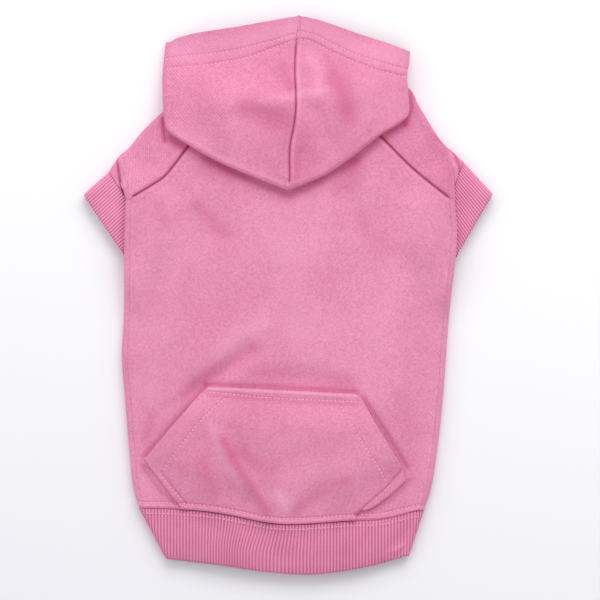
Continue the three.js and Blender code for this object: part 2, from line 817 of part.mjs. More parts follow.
// Line of the neck seam on the back from one shoulder fold to the other
const neckLine = [
  shoulderFold.left[0],
  raglan.left[0],
  raglan.right[0],
  shoulderFold.right[0],
].map(bodyPoint);
const bodyOutline = [
  ...neckLine,
  ...[...shoulderFold.right.slice(1), ...sideFold.right].map(bodyPoint),
  ...[...shoulderFold.left.slice(1), ...sideFold.left].map(bodyPoint).reverse(),
];

function isOverBody(point) {
  let inside = false;
  bodyOutline.forEach((a, i) => {
    const b = bodyOutline[(i + 1) % bodyOutline.length];
    const crosses = a.y > point.y !== b.y > point.y;
    if (crosses && point.x < a.x + ((b.x - a.x) * (point.y - a.y)) / (b.y - a.y)) inside = !inside;
  });
  return inside;
}

function distanceOffBody(point) {
  if (isOverBody(point)) return 0;
  const next = (i) => bodyOutline[(i + 1) % bodyOutline.length];
  return Math.min(...bodyOutline.map((corner, i) => distanceToSegment(point, corner, next(i))));
}

// Flat point of the neck seam, its height and whether it is on the back, for a share of one hood half
function neckPoint(side, share) {
  const end = bodyPoint(shoulderFold[side][0]);
  const inner = end.clone();
  inner.x -= outward[side] * foldReach;
  const raglanTop = bodyPoint(raglan[side][0]);
  const nape = bodyPoint({ out: 0, down: mix(raglan.left[0].down, raglan.right[0].down, 0.5) });
  const throat = bodyPoint({ out: 0, down: mix(underRaglan.left[0].down, underRaglan.right[0].down, 0.5) });
  const underTop = bodyPoint(underRaglan[side][0]);
  const { backShare, turnShare } = hoodShares;
  if (share <= backShare) {
    const line = new THREE.SplineCurve([nape, raglanTop, inner]);
    const flat = line.getPointAt(share / backShare);
    flat.y += neckAhead;
    return lift3(flat, topHeight(flat) + hoodGap);
  }
  if (share < backShare + turnShare) {
    const angle = (Math.PI * (share - backShare)) / turnShare;
    const flat = inner.clone();
    flat.x += outward[side] * (foldReach + hoodGap) * Math.sin(angle);
    flat.y += neckAhead + 2 * seamGap * Math.sin(angle / 2);
    return lift3(flat, (foldHeight + hoodGap) * (0.5 + 0.5 * Math.cos(angle)));
  }
  const line = new THREE.SplineCurve([inner, underTop, throat]);
  const flat = line.getPointAt((share - backShare - turnShare) / (1 - backShare - turnShare));
  flat.y += neckAhead + 2 * seamGap;
  return lift3(flat, 0);
}

function hoodHalf(side) {
  const outline = new THREE.SplineCurve(hoodOutline[side].map(hoodPoint));
  const seam = new THREE.SplineCurve(crownSeam.map(hoodPoint));
  const edgePoints = outline.getSpacedPoints(steps.hoodOutline);
  const { backShare, turnShare } = hoodShares;
  const leaves = hoodLeaves[side].share;
  const grid = [];
  for (let j = 0; j <= steps.hoodRows; j += 1) {
    const share = j / steps.hoodRows;
    const turned = backShare + turnShare;
    const pastTurn = mix(leaves + hoodTurn, 1, (share - turned) / (1 - turned));
    const inTurn = leaves + (hoodTurn * (share - backShare)) / turnShare;
    const afterBack = Math.min(1, share < turned ? inTurn : pastTurn);
    const edgeShare = share <= backShare ? (leaves * share) / backShare : afterBack;
    const edge = outline.getPointAt(edgeShare);
    const neck = neckPoint(side, share);
    const neckFlat = new THREE.Vector2(neck.x, neck.y);
    const crown = seam.getPointAt(share);
    crown.x += (outward[side] * seamGap) / 2;
    if (share === 0) edge.x += (outward[side] * seamGap) / 2;
    if (share === 0 || share === 1) neckFlat.x += (outward[side] * seamGap) / 2;
    const reachTo = (other) => Math.min(foldReach, roundShare * edge.distanceTo(other));
    const heading = (other) => other.clone().sub(edge).normalize();
    const toward = (other) => edge.clone().addScaledVector(heading(other), reachTo(other));
    const underInner = toward(neckFlat);
    const topInner = toward(crown);
    const drapeZ = (flat) => {
      const off = distanceOffBody(flat);
      return (topHeight(flat) + hoodGap) * (1 - ease((off - drapeStart) / (drapeSlope * foldReach)));
    };
    const underZ = (flat, along) => {
      if (share <= backShare) return topHeight(flat) + hoodGap;
      return mix(neck.z, drapeZ(underInner), along);
    };
    const topZ = (flat) => {
      const inland = Math.min(...edgePoints.map((point) => point.distanceTo(flat))) - foldReach;
      const pouch = mix(hoodEdgePouch, hoodPouch, ease(inland / swellReach));
      const carried = (topHeight(flat) + hoodGap) * (1 - ease(distanceOffBody(flat) / hoodSlope));
      return carried + pouch + foldRise(flat, hoodFolds) * ease(inland / foldReach);
    };
    const underPart = Array.from({ length: steps.hoodUnder + 1 }, (_, i) => {
      const along = i / steps.hoodUnder;
      const flat = neckFlat.clone().lerp(underInner, along);
      return lift3(flat, underZ(flat, along));
    });
    const low = underPart[steps.hoodUnder].z;
    const high = topZ(topInner);
    const arc = Array.from({ length: steps.arcColumns - 1 }, (_, i) => {
      const angle = (Math.PI * (i + 1)) / steps.arcColumns;
      const inner = underInner.clone().lerp(topInner, (i + 1) / steps.arcColumns);
      return lift3(inner.lerp(edge, Math.sin(angle)), mix(low, high, 0.5 - 0.5 * Math.cos(angle)));
    });
    const topPart = Array.from({ length: steps.hoodTop + 1 }, (_, i) => {
      const along = i / steps.hoodTop;
      const flat = topInner.clone().lerp(crown, along);
      flat.y += faceBow * hoodForward * 4 * along * (1 - along) * share ** faceBowPower;
      return lift3(flat, topZ(flat));
    });
    const row = [...underPart, ...arc, ...topPart];
    grid.push(side === 'left' ? row.reverse() : row);
  }
  const lastColumn = grid[0].length - 1;
  const crownColumn = side === 'left' ? 0 : lastColumn;
  const isFaceHem = (j, i) => j === steps.hoodRows && Math.abs(i - crownColumn) <= steps.hoodTop;
  const wallAt = (j, i) => fleeceWall + (isFaceHem(j, i) ? faceHemExtra : 0);
  const isCrown = (i) => i === crownColumn;
  const seamAxis = (j, i) => (j === 0 || isCrown(i) ? alongX : null);
  return clothSheet(grid, { wallAt, seamAxis });
}

function pocket() {
  const back = backGrid();
  const flapCount = steps.arcColumns + steps.underColumns;
  const lastBack = back[back.length - 1];
  const bottomEdge = edgeSampler(lastBack.slice(flapCount, lastBack.length - flapCount));
  const topLine = bottomEdge(pocketShift).y + pocketLength;
  const grid = [];
  for (let j = 0; j <= steps.pocketRows; j += 1) {
    const down = j / steps.pocketRows;
    const [left, right] = sides.map((side) => {
      const out = valueAt(pocketSide[side], 'down', 'out', down, false);
      return pocketShift + (out * pocketWidth) / 2;
    });
    const row = [];
    for (let i = 0; i <= steps.pocketColumns; i += 1) {
      const across = i / steps.pocketColumns;
      const x = mix(left, right, across);
      const top = topLine - pocketTilt * ((2 * (x - pocketShift)) / pocketWidth);
      const flat = new THREE.Vector2(x, mix(top, bottomEdge(x).y + seamGap, down));
      const sideStand = mix(pocketMouth, 0, ease((down - pocketMouthEnd) / pocketMouthFade));
      const sideShare = mix(sideStand, 1, ease(Math.min(across, 1 - across) / pocketEdge));
      const stand = pocketPouch * ease(down / pocketRise) * ease((1 - down) / pocketRise) * sideShare;
      row.push(lift3(flat, topHeight(flat) + pocketGap + fleeceWall + stand));
    }
    grid.push(row);
  }
  return clothSheet(grid, {});
}

const garment = new THREE.Group();

function addPiece(name, geometry, colour, roughness) {
  geometry.computeVertexNormals();
  const material = new THREE.MeshStandardMaterial({ color: colour, roughness, metalness: 0 });
  const piece = new THREE.Mesh(geometry, material);
  piece.name = name;
  garment.add(piece);
}

const fleecePink = 0xe995b7;
const ribPink = 0xd57da0;
const pocketPink = 0xe08aad;
addPiece('back_panel', backPanel(), fleecePink, 0.9);
addPiece('belly_panel', bellyPanel(), fleecePink, 0.9);
addPiece('sleeve_left', sleeve('left'), fleecePink, 0.9);
addPiece('sleeve_right', sleeve('right'), fleecePink, 0.9);
addPiece('cuff_left', cuff('left'), ribPink, 0.95);
addPiece('cuff_right', cuff('right'), ribPink, 0.95);
addPiece('hem_band', hemBand(), ribPink, 0.95);
addPiece('hood_left', hoodHalf('left'), fleecePink, 0.9);
addPiece('hood_right', hoodHalf('right'), fleecePink, 0.9);
addPiece('pocket', pocket(), pocketPink, 0.9);

// The origin is on the surface that it lies on, under the middle of its box.
const box = new THREE.Box3().setFromObject(garment);
const middle = box.getCenter(new THREE.Vector3());
garment.position.set(-middle.x, -middle.y, -box.min.z);

export default garment;
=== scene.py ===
import math

import bmesh
import bpy
import numpy as np
from mathutils import Matrix, Vector, noise


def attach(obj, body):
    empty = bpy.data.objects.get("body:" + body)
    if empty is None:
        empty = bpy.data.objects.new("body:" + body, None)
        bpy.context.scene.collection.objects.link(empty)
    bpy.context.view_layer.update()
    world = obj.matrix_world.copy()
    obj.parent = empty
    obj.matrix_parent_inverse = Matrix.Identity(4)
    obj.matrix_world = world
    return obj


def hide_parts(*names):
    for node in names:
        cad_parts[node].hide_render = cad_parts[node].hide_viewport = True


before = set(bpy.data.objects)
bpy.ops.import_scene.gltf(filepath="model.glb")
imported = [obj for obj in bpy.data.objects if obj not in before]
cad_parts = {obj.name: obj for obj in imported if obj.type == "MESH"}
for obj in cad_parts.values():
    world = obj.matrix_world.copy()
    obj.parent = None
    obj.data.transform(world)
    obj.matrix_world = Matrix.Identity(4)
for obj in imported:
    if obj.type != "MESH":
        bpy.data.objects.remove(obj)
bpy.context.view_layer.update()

# A plain pink dog hoodie lying flat with its back up. Lengths are in millimetres until a mesh is written.
MM = 0.001

# Sizes of the garment laid flat
CHEST_WIDTH = 238
BACK_LENGTH = 295.2
HEM_DEPTH = 37.4
CUFF_DEPTH = 24.5
HOOD_WIDTH = 175.7
HOOD_FORWARD = 68.4
HOOD_BACK = 56.9
HOOD_SHIFT = 1.4
NAPE_Y = (BACK_LENGTH + HEM_DEPTH - HOOD_FORWARD) / 2
CENTRE = np.array([-0.119, 0.09])

# Heights above the surface that it lies on
TORSO_HEIGHT = 16
HEM_SEAM_HEIGHT = 13
HEM_MOUTH_HEIGHT = 11.5
FOLD_HEIGHT = 9
FOLD_REACH = 4.5
RIDE_UP = 0.75
HEM_DIP_FADE = 9
SWELL_REACH = 36
HOOD_POUCH = 12.5
HOOD_EDGE_POUCH = 8
HOOD_SLOPE = 45
POCKET_POUCH = 6.5

# Cloth and seams
FLEECE_WALL = 1.8
RIB_WALL = 1.5
RIB_PITCH = 2.3
CUFF_RIB_PITCH = 2.0
RIB_HEIGHT = 0.75
SEAM_GAP = 0.12
LAYER_GAP = 0.5
HOOD_GAP = 0.9
POCKET_GAP = 0.9
TUCK_GAP = 0.8
NECK_AHEAD = 0.7
HEM_STITCH_ABOVE = 4.3
BAND_STITCH_BELOW = 3.5

SIDES = ("left", "right")
OUTWARD = {"left": -1, "right": 1}

# The photograph's places, in its pixels from the top left, on the surface that the hoodie lies on
PHOTO_SCALE = 0.72
PHOTO_MIDDLE = (288, 295.5)


def spot(x, y):
    return ((x - PHOTO_MIDDLE[0]) * PHOTO_SCALE, (PHOTO_MIDDLE[1] - y) * PHOTO_SCALE)


def spots(*places):
    return np.array([spot(*place) for place in places])


def body(out, down):
    return (out * CHEST_WIDTH / 2, NAPE_Y - down * BACK_LENGTH)


def hood(out, ahead):
    reach = HOOD_FORWARD if ahead > 0 else HOOD_BACK
    return (HOOD_SHIFT + out * HOOD_WIDTH / 2, NAPE_Y + ahead * reach)


# Shares of half the chest width and of the back length from the nape
SIDE_FOLD = {
    "left": [(-0.98, 0.213), (-0.989, 0.288), (-0.989, 0.349), (-0.992, 0.498), (-1.004, 0.595),
             (-0.986, 0.693), (-0.962, 0.81), (-0.938, 0.907), (-0.901, 0.966)],
    "right": [(1.008, 0.213), (1.022, 0.288), (1.014, 0.349), (0.974, 0.498), (0.956, 0.595),
              (0.938, 0.693), (0.907, 0.81), (0.871, 0.907), (0.823, 0.971)],
}
HEM_SEAM = [(-0.901, 0.966), (-0.665, 0.968), (-0.417, 0.978), (-0.121, 1.001), (0.06, 1.005),
            (0.387, 0.996), (0.563, 0.993), (0.75, 0.976), (0.823, 0.971)]
RAGLAN = {
    "left": [(-0.442, 0.002), (-0.599, 0.083), (-0.724, 0.149), (-0.802, 0.174), (-0.942, 0.208)],
    "right": [(0.387, -0.015), (0.557, 0.059), (0.738, 0.133), (0.871, 0.178), (0.966, 0.208)],
}
UNDER_RAGLAN = {
    "left": [(-0.442, -0.034), (-0.581, 0.073), (-0.69, 0.166), (-0.75, 0.229), (-0.786, 0.278)],
    "right": [(0.387, -0.049), (0.532, 0.049), (0.67, 0.146), (0.77, 0.224), (0.83, 0.27)],
}
SHOULDER_FOLD = {
    "left": [(-0.726, -0.01), (-0.786, 0.01), (-0.883, 0.049), (-0.962, 0.088), (-1.022, 0.109), (-1.083, 0.146)],
    "right": [(0.702, -0.068), (0.75, -0.049), (0.799, -0.01), (0.92, 0.068), (1.0, 0.099), (1.06, 0.122)],
}
SIDE_SEAM = {
    "left": [(-0.786, 0.278), (-0.75, 0.42), (-0.744, 0.96)],
    "right": [(0.83, 0.27), (0.75, 0.42), (0.7, 0.98)],
}
CUFF_SEAM = {
    "left": {"top": (-1.083, 0.146), "tucked": (-0.838, 0.293), "slide": 0.14},
    "right": {"top": (1.089, 0.137), "tucked": (0.902, 0.283), "slide": 0.34},
}
# How far the cuff's seam is from where it would be square to the cuff, at the shoulder fold
CUFF_SEAM_SHIFT = {"left": (0, 0), "right": (-0.029, -0.015)}
# How much further the tucked corner of the cuff's mouth reaches under the body, in millimetres
CUFF_MOUTH_REACH = {"left": (0, 0), "right": (-5.3, -3.5)}
# Where the end of the raglan seam is along the shoulder fold
SLEEVE_CREASE = {"left": 0.78, "right": 0.77}
# The cuffs' parts that lie tucked under the body's sides
TUCK = {
    "left": [(-1.04, 0.19), (-0.93, 0.212), (-0.84, 0.265), (-0.84, 0.305), (-0.95, 0.39), (-1.1, 0.35)],
    "right": [(1.07, 0.185), (0.97, 0.208), (0.872, 0.252), (0.872, 0.3), (0.98, 0.39), (1.13, 0.35)],
}
# The hem band's mouth: how far its corners are in from the side folds and down from the hem seam, and its sag
# from corner to corner, in shares of half the chest width and of the band's depth
MOUTH_CORNER = {"left": (0.163, 0.96), "right": (0.091, 0.847)}
MOUTH_SAG = [(0, 0), (0.21, 0.133), (0.395, 0.28), (0.6, 0.355), (0.815, 0.236), (1, 0)]

# Shares of half the hood's width and of its reach before or behind the nape
HOOD_OUTLINE = {
    "left": [(-0.008, -1), (-0.287, -0.835), (-0.607, -0.62), (-0.836, -0.418), (-0.992, -0.253),
             (-1.029, -0.1), (-1.044, 0.211), (-1.041, 0.432), (-1.016, 0.73)],
    "right": [(-0.008, -1), (0.279, -0.81), (0.492, -0.595), (0.738, -0.304), (0.918, -0.127),
              (0.975, 0.011), (0.959, 0.347), (0.975, 0.505), (0.984, 0.635)],
}
CROWN_SEAM = [(-0.006, -0.88), (0, -0.709), (0.005, -0.418), (0.033, -0.127),
              (0.049, 0.168), (0.045, 0.495), (0.053, 0.8), (0.066, 1)]
# How far the face edge bows past a straight line from corner to crown, in millimetres
FACE_BOW = {
    "left": [(0, 0), (0.015, 0.8), (0.04, 1.5), (0.1, 2.1), (0.18, 2.5), (0.3, 2.1), (0.5, 1.2), (0.7, 0.9),
             (0.9, 0.7), (1, 0.1)],
    "right": [(0, 0), (0.16, 1.0), (0.3, 0.95), (0.42, 1.0), (0.52, 1.4), (0.62, 1.8), (0.81, 2.2), (0.94, 1.3),
              (1, 0.5)],
}
# Shares of the hood's neck edge on the back and round the shoulder fold, and of its outline that they reach
BACK_SHARE = 0.46
TURN_SHARE = 0.16
HOOD_LEAVES = {"left": 0.7, "right": 0.86}
HOOD_TURN = 0.06

# Folds and dents: a line in the photograph, how wide and how high it is
BODY_FOLDS = [
    (spots((196, 390), (222, 372), (246, 350)), 7.5, -3.15),
    (spots((205, 365), (232, 343), (262, 325)), 11, 1.65),
    (spots((236, 378), (262, 360)), 8, 1.2),
    (spots((147, 434), (152, 420), (166, 408)), 6, -1.8),
    (spots((142, 380), (160, 396), (176, 402)), 12, 0.75),
    (spots((285, 376), (320, 378), (350, 386)), 7, -1.65),
    (spots((290, 230), (300, 300), (296, 345)), 20, 1.35),
    (spots((352, 260), (360, 320), (372, 372)), 16, -1.2),
    (spots((384, 330), (398, 400), (415, 460)), 12, 1.05),
    (spots((205, 240), (214, 300)), 16, -0.9),
    (spots((160, 215), (170, 260), (168, 330)), 14, 1.05),
    (spots((340, 180), (352, 205), (356, 225)), 8, -1.5),
    (spots((322, 190), (330, 215)), 8, 0.9),
    (spots((212, 212), (226, 232)), 9, -1.2),
    (spots((186, 205), (200, 190)), 8, 0.75),
    (spots((400, 470), (420, 440)), 7, -0.9),
]
HOOD_FOLDS = [
    (spots((228, 104), (250, 99), (280, 95)), 11, 1.5),
    (spots((240, 116), (258, 116), (280, 122)), 10, -2.0),
    (spots((262, 70), (276, 84), (284, 92)), 6, -2.4),
    (spots((308, 66), (318, 82), (316, 98)), 7, 1.92),
    (spots((332, 72), (343, 92), (350, 112)), 9, -2.9),
    (spots((306, 104), (318, 118), (322, 136)), 6, -1.6),
    (spots((200, 95), (206, 118), (226, 140)), 13, 1.44),
    (spots((375, 92), (370, 112), (352, 132)), 11, 1.44),
    (spots((262, 146), (276, 164), (284, 178)), 7, 1.28),
    (spots((216, 60), (212, 80)), 11, -0.96),
    (spots((250, 56), (240, 72)), 7, 0.8),
]
POCKET_FOLDS = [
    (spots((221, 434), (229, 458), (249, 484), (268, 517)), 4.6, 1.96),
    (spots((232, 430), (243, 458), (262, 486)), 5.5, -1.68),
    (spots((205, 440), (222, 478), (244, 500)), 7, -1.26),
    (spots((298, 514), (310, 496), (330, 482)), 6, -0.98),
    (spots((272, 500), (290, 505)), 6, 0.98),
    (spots((250, 458), (280, 466), (300, 452)), 9, -0.98),
    (spots((290, 430), (330, 440)), 13, 0.7),
]
SLEEVE_FOLDS = [
    (spots((117.6, 156), (119, 168), (121.5, 182), (124.5, 198)), 1.0, -2.2),
    (spots((121.5, 158), (123, 170), (126, 186)), 2.4, 1.1),
    (spots((434, 133), (437, 141), (447, 152), (455, 163)), 1.2, -1.2),
    (spots((122, 178), (134, 176), (150, 165)), 3.5, -0.9),
    (spots((132, 160), (146, 150), (158, 140)), 6, 0.7),
    (spots((140, 190), (150, 176)), 4, 0.5),
    (spots((163.5, 121), (164.3, 131), (164.6, 140)), 2, -1.1),
    (spots((436, 150), (444, 168), (448, 186)), 5, -0.6),
    (spots((410, 130), (424, 150)), 6, 0.6),
]
CUFF_FOLDS = [
    (spots((104, 196), (112, 204), (124, 206)), 4, -0.9),
    (spots((96, 196), (108, 210), (118, 222)), 5, 0.5),
    (spots((472, 196), (462, 214)), 5, -0.5),
]
HEM_FOLDS = [
    (spots((419, 534), (408, 543), (394, 551)), 1.6, 2.0),
    (spots((413, 529), (402, 538), (390, 545)), 4.5, -0.9),
    (spots((250, 527), (262, 532)), 7, -0.8),
    (spots((278, 530), (290, 545)), 9, 0.5),
    (spots((330, 535), (345, 552)), 10, -0.4),
]

# Painted shade and painted highlight: a line, its width and how much; above 0 the cloth's colour is painted deeper as
# shade, below 0 lighter as a highlight
# The body: painted shadow under the hood's lower edges and along the pocket's edges, painted shade in its folds,
# painted highlights on its ridges
BODY_PAINTED_LIGHT = [
    (spots((186, 146), (216, 163), (240, 175), (264, 186), (290, 196), (318, 183), (364, 154), (382, 137)), 3.4, 0.7),
    (spots((205, 160), (222, 168), (244, 178)), 3.4, 0.35),
    (spots((345, 172), (358, 162)), 4, 0.3),
    (spots((340, 190), (355, 180), (356, 165)), 6, 0.35),
    (spots((203, 168), (226, 178)), 7, 0.3),
    (spots((197, 206), (208, 216), (226, 234)), 5.5, 0.35),
    (spots((158, 205), (164, 222)), 5, 0.3),
    (spots((361, 215), (366, 232)), 6, 0.25),
    (spots((184, 394), (215, 371), (254, 347)), 5, 0.5),
    (spots((222, 352), (262, 322)), 7, -0.3),
    (spots((252, 372), (300, 377), (350, 384)), 6, 0.3),
    (spots((206, 383.5), (260, 385), (357, 391)), 1.8, 0.75),
    (spots((206, 387), (175, 421), (145, 455)), 2.2, 0.6),
    (spots((364, 397), (387, 432), (407, 466)), 1.8, 0.7),
    (spots((409, 480), (392, 498), (366, 513)), 2.4, 0.5),
    (spots((142, 465), (160, 490), (177, 505)), 1.6, 0.5),
    (spots((140, 380), (158, 398)), 8, -0.2),
    (spots((152, 415), (146, 436)), 4, 0.3),
    (spots((400, 395), (410, 440), (412, 470)), 9, 0.18),
    (spots((280, 250), (300, 320)), 18, -0.12),
]
# The hood: painted shade in its dents, painted highlights on its ridges and across its hem
HOOD_PAINTED_LIGHT = [
    (spots((246, 109), (262, 114), (286, 124)), 7.5, 0.5),
    (spots((282, 66), (291, 88)), 4.5, 0.4),
    (spots((333, 76), (342, 92), (348, 118)), 7, 0.6),
    (spots((262, 101), (296, 96.5), (326, 91)), 3, -0.3),
    (spots((308, 52), (321, 72), (318, 88)), 5, -0.3),
    (spots((200, 85), (208, 110), (222, 132)), 9, 0.18),
    (spots((299, 150), (294, 184)), 3.5, 0.45),
    (spots((306, 140), (312, 160)), 6, 0.2),
    (spots((170, 128), (216, 154), (262, 178)), 4, -0.15),
    (spots((402, 121), (380, 134), (330, 167)), 3, 0.3),
    (spots((292, 20), (290, 36)), 5, -0.15),
    (spots((176, 50), (236, 43), (288, 29)), 8, -0.28),
    (spots((306, 26), (345, 44), (404, 62)), 8, -0.28),
]
# The pocket: painted shade in its V crease and along its edges, painted highlights on its ridges and its top roll
POCKET_PAINTED_LIGHT = [
    (spots((224, 440), (234, 462), (252, 486), (268, 512)), 3.6, 0.6),
    (spots((211, 424), (222, 455), (240, 482)), 3.0, -0.35),
    (spots((240, 452), (252, 462), (270, 468)), 6, 0.35),
    (spots((202, 462), (214, 490)), 6, 0.35),
    (spots((298, 508), (318, 494), (345, 480)), 5, 0.4),
    (spots((279, 494), (285, 508)), 4, -0.5),
    (spots((315, 452), (335, 440)), 9, 0.15),
    (spots((209, 389), (356, 396)), 1.4, -0.5),
    (spots((210, 394.5), (300, 401.5), (356, 404)), 1.6, 0.4),
    (spots((404, 468), (386, 487), (356, 513)), 1.3, 0.7),
    (spots((163, 472), (186, 502)), 1.2, 0.45),
]
# The sleeves: painted shade in the creases by the cuffs, painted shadow under the hood's corners, painted highlights
# beside the creases
SLEEVE_PAINTED_LIGHT = [
    (spots((116.8, 157), (118.4, 168), (120.8, 182), (124.2, 199)), 0.8, 1.0),
    (spots((119.8, 159), (121.6, 170), (124.8, 187)), 1.3, -0.6),
    (spots((162.6, 118), (164, 131), (164.8, 141)), 1.3, 0.9),
    (spots((170, 139), (187, 149)), 3.4, 0.9),
    (spots((188, 149), (172, 170)), 2, 0.3),
    (spots((384, 137), (405, 124)), 3.4, 0.75),
    (spots((410, 80), (411.5, 110), (405, 124)), 2.0, 0.8),
    (spots((453.5, 152), (459, 166), (459.3, 178), (458, 200)), 0.8, 1.0),
    (spots((434, 136), (453, 152)), 1.0, 0.5),
    (spots((450, 153), (455.5, 167), (455.8, 180), (454.6, 198)), 1.4, -0.5),
    (spots((440, 186), (452, 202)), 2.5, 0.3),
]


def mix(a, b, t):
    return a + (b - a) * t


def ease(t):
    t = np.clip(t, 0, 1)
    return t * t * (3 - 2 * t)


def smooth_line(points, samples=360):
    """A smooth curve through the points."""
    points = np.array(points, float)
    last = len(points) - 1
    t = np.linspace(0, last, samples)
    i = np.minimum(t.astype(int), last - 1)
    w = (t - i)[:, None]
    before, a, b, after = points[np.maximum(i - 1, 0)], points[i], points[i + 1], points[np.minimum(i + 2, last)]
    start, end = (b - before) / 2, (after - a) / 2
    return (2 * a - 2 * b + start + end) * w**3 + (-3 * a + 3 * b - 2 * start - end) * w**2 + start * w + a


class Seam:
    """A curve in plan, looked up by its share of length."""

    def __init__(self, points, rounding=0):
        self.line = smooth_line(points)
        for _ in range(rounding):
            self.line[1:-1] = (self.line[:-2] + 2 * self.line[1:-1] + self.line[2:]) / 4
        steps = np.linalg.norm(np.diff(self.line, axis=0), axis=1)
        self.along = np.concatenate([[0], np.cumsum(steps)])
        self.length = self.along[-1]

    def at(self, share):
        place = np.asarray(share) * self.length
        return np.stack([np.interp(place, self.along, self.line[:, k]) for k in range(2)], axis=-1)


def away_from(points, line):
    """How far each point is from a line of straight pieces."""
    a, b = line[:-1], line[1:]
    along = b - a
    offset = points[..., None, :] - a
    t = np.clip((offset * along).sum(-1) / (along * along).sum(-1), 0, 1)
    return np.linalg.norm(offset - t[..., None] * along, axis=-1).min(-1)


def relief(points, folds):
    total = np.zeros(points.shape[:-1])
    for line, width, rise in folds:
        total += rise * np.exp(-((away_from(points, line) / width) ** 2))
    return total


def ripple(points, seed, scale=26, size=0.45):
    """The slight unevenness of cloth that was patted flat."""
    flat = points.reshape(-1, 2)
    heights = [
        noise.noise(Vector((x / scale, y / scale, seed))) + 0.4 * noise.noise(Vector((x / 9, y / 9, seed + 5)))
        for x, y in flat
    ]
    return size * np.array(heights).reshape(points.shape[:-1])


body_seams = {
    side: {
        "fold": Seam([body(*p) for p in SIDE_FOLD[side]]),
        "raglan": Seam([body(*p) for p in RAGLAN[side]], 500),
        "under_raglan": Seam([body(*p) for p in UNDER_RAGLAN[side]]),
        "shoulder": Seam([body(*p) for p in SHOULDER_FOLD[side]]),
        "side_seam": Seam([body(*p) for p in SIDE_SEAM[side]]),
    }
    for side in SIDES
}
fold_corners = [np.array([body(*p) for p in table[side]]) for side in SIDES for table in (SHOULDER_FOLD, SIDE_FOLD)]


def tuck_lift(points, slope=2.2):
    """How far the body rides up on the cuffs tucked under its sides."""
    lifts = []
    for side in SIDES:
        corners = np.array([body(*p) for p in TUCK[side]])
        edges = np.roll(corners, -1, axis=0) - corners
        normals = np.stack([edges[:, 1], -edges[:, 0]], axis=1) * OUTWARD[side]
        normals /= np.linalg.norm(edges, axis=1)[:, None]
        beyond = ((points[..., None, :] - corners) * normals).sum(-1).max(-1)
        lifts.append(1 - ease((np.maximum(beyond, 0) - FOLD_REACH / 2) / (FOLD_REACH * slope)))
    return (FOLD_HEIGHT + TUCK_GAP) * np.maximum(*lifts)


def inland_of(points):
    return np.minimum.reduce([away_from(points, corners) for corners in fold_corners]) - FOLD_REACH


def top_height(points, folds=BODY_FOLDS):
    down = (NAPE_Y - points[..., 1]) / BACK_LENGTH
    crown = mix(TORSO_HEIGHT, HEM_SEAM_HEIGHT, ease((down - 0.75) / 0.25))
    swell = ease(inland_of(points) / SWELL_REACH)
    return mix(FOLD_HEIGHT, crown + relief(points, folds), swell) + RIDE_UP * tuck_lift(points, 6)


hem_line = np.array([body(*p) for p in HEM_SEAM])
hem_seam = smooth_line(hem_line)


def hem_seam_y(x):
    return np.interp(x, hem_seam[:, 0], hem_seam[:, 1])


def hem_dip(x):
    (x0, y0), (x1, y1) = hem_line[0], hem_line[-1]
    inset = np.minimum(x - x0, x1 - x) - FOLD_REACH
    return (hem_seam_y(x) - mix(y0, y1, (x - x0) / (x1 - x0))) * ease(inset / HEM_DIP_FADE)


raglan_lines = [body_seams[side]["raglan"].line[::8] for side in SIDES]


def raglan_ditch(points):
    """The cloth beside a raglan seam swells a little and then rolls down into the seam."""
    off = np.minimum(*(away_from(points, line) for line in raglan_lines))
    return -1.7 * np.exp(-((off / 0.9) ** 2)) + 0.45 * np.exp(-(((off - 3) / 2) ** 2))


def hem_roll(points):
    """The rolled strip above the hem seam and the groove under its stitches."""
    above = points[..., 1] - hem_seam_y(points[..., 0])
    roll = 1.1 * np.exp(-(((above - 1.9) / 1.5) ** 2)) - 0.8 * np.exp(-(((above - HEM_STITCH_ABOVE) / 0.9) ** 2))
    return roll - 0.7 * np.exp(-((above / 0.5) ** 2))


def body_surface(points):
    """Outer face of the body's top layer."""
    return top_height(points) + hem_roll(points) + raglan_ditch(points) + ripple(points, 1)


def fold_arc(edge, inner, top_z, under_z, count):
    angle = np.pi * np.linspace(0, 1, count + 1)
    flat = mix(inner, edge, np.sin(angle)[:, None])
    return np.column_stack([flat, mix(under_z, top_z, 0.5 + 0.5 * np.cos(angle))])


def lifted(flat, z):
    return np.concatenate([flat, np.broadcast_to(np.asarray(z, float), flat.shape[:-1])[..., None]], axis=-1)


def crowded(count, share=0.7):
    """Shares from 0 to 1 that are closer together at both ends."""
    t = np.linspace(0, 1, count + 1)
    return mix(t, ease(t), share)


# How finely the back is divided
RAGLAN_ROWS, BODY_ROWS, BODY_COLUMNS, ARC_COLUMNS, UNDER_COLUMNS = 44, 168, 160, 14, 8


def body_flap(side, share):
    edge = body_seams[side]["fold"].at(share)
    inner = edge - [OUTWARD[side] * FOLD_REACH, 0]
    arc = fold_arc(edge, inner, body_surface(inner), tuck_lift(inner), ARC_COLUMNS)
    last = body_seams[side]["side_seam"].at(share) + [OUTWARD[side] * SEAM_GAP / 2, 0]
    flat = mix(inner, last, np.linspace(0, 1, UNDER_COLUMNS + 1)[1:, None])
    return np.vstack([arc, lifted(flat, tuck_lift(flat))])


def back_rows():
    rows = []
    across = crowded(BODY_COLUMNS)[:, None]
    for share in np.linspace(0, 1, RAGLAN_ROWS + 1):
        ends = [
            body_seams[side]["raglan"].at(share) - [OUTWARD[side] * SEAM_GAP / 2, SEAM_GAP / 2] for side in SIDES
        ]
        flat = mix(ends[0], ends[1], across)
        left, right = (body_flap(side, 0)[1:] for side in SIDES)
        rows.append(np.vstack([left[::-1], lifted(flat, body_surface(flat)), right]))
    for share in crowded(BODY_ROWS, 0.85)[1:]:
        left, right = (body_flap(side, share) for side in SIDES)
        flat = mix(left[0, :2], right[0, :2], across)
        flat[:, 1] += ease((share - 0.5) / 0.5) * hem_dip(flat[:, 0])
        top = lifted(flat, body_surface(flat))
        rows.append(np.vstack([left[::-1], top[1:-1], right]))
    return np.array(rows)


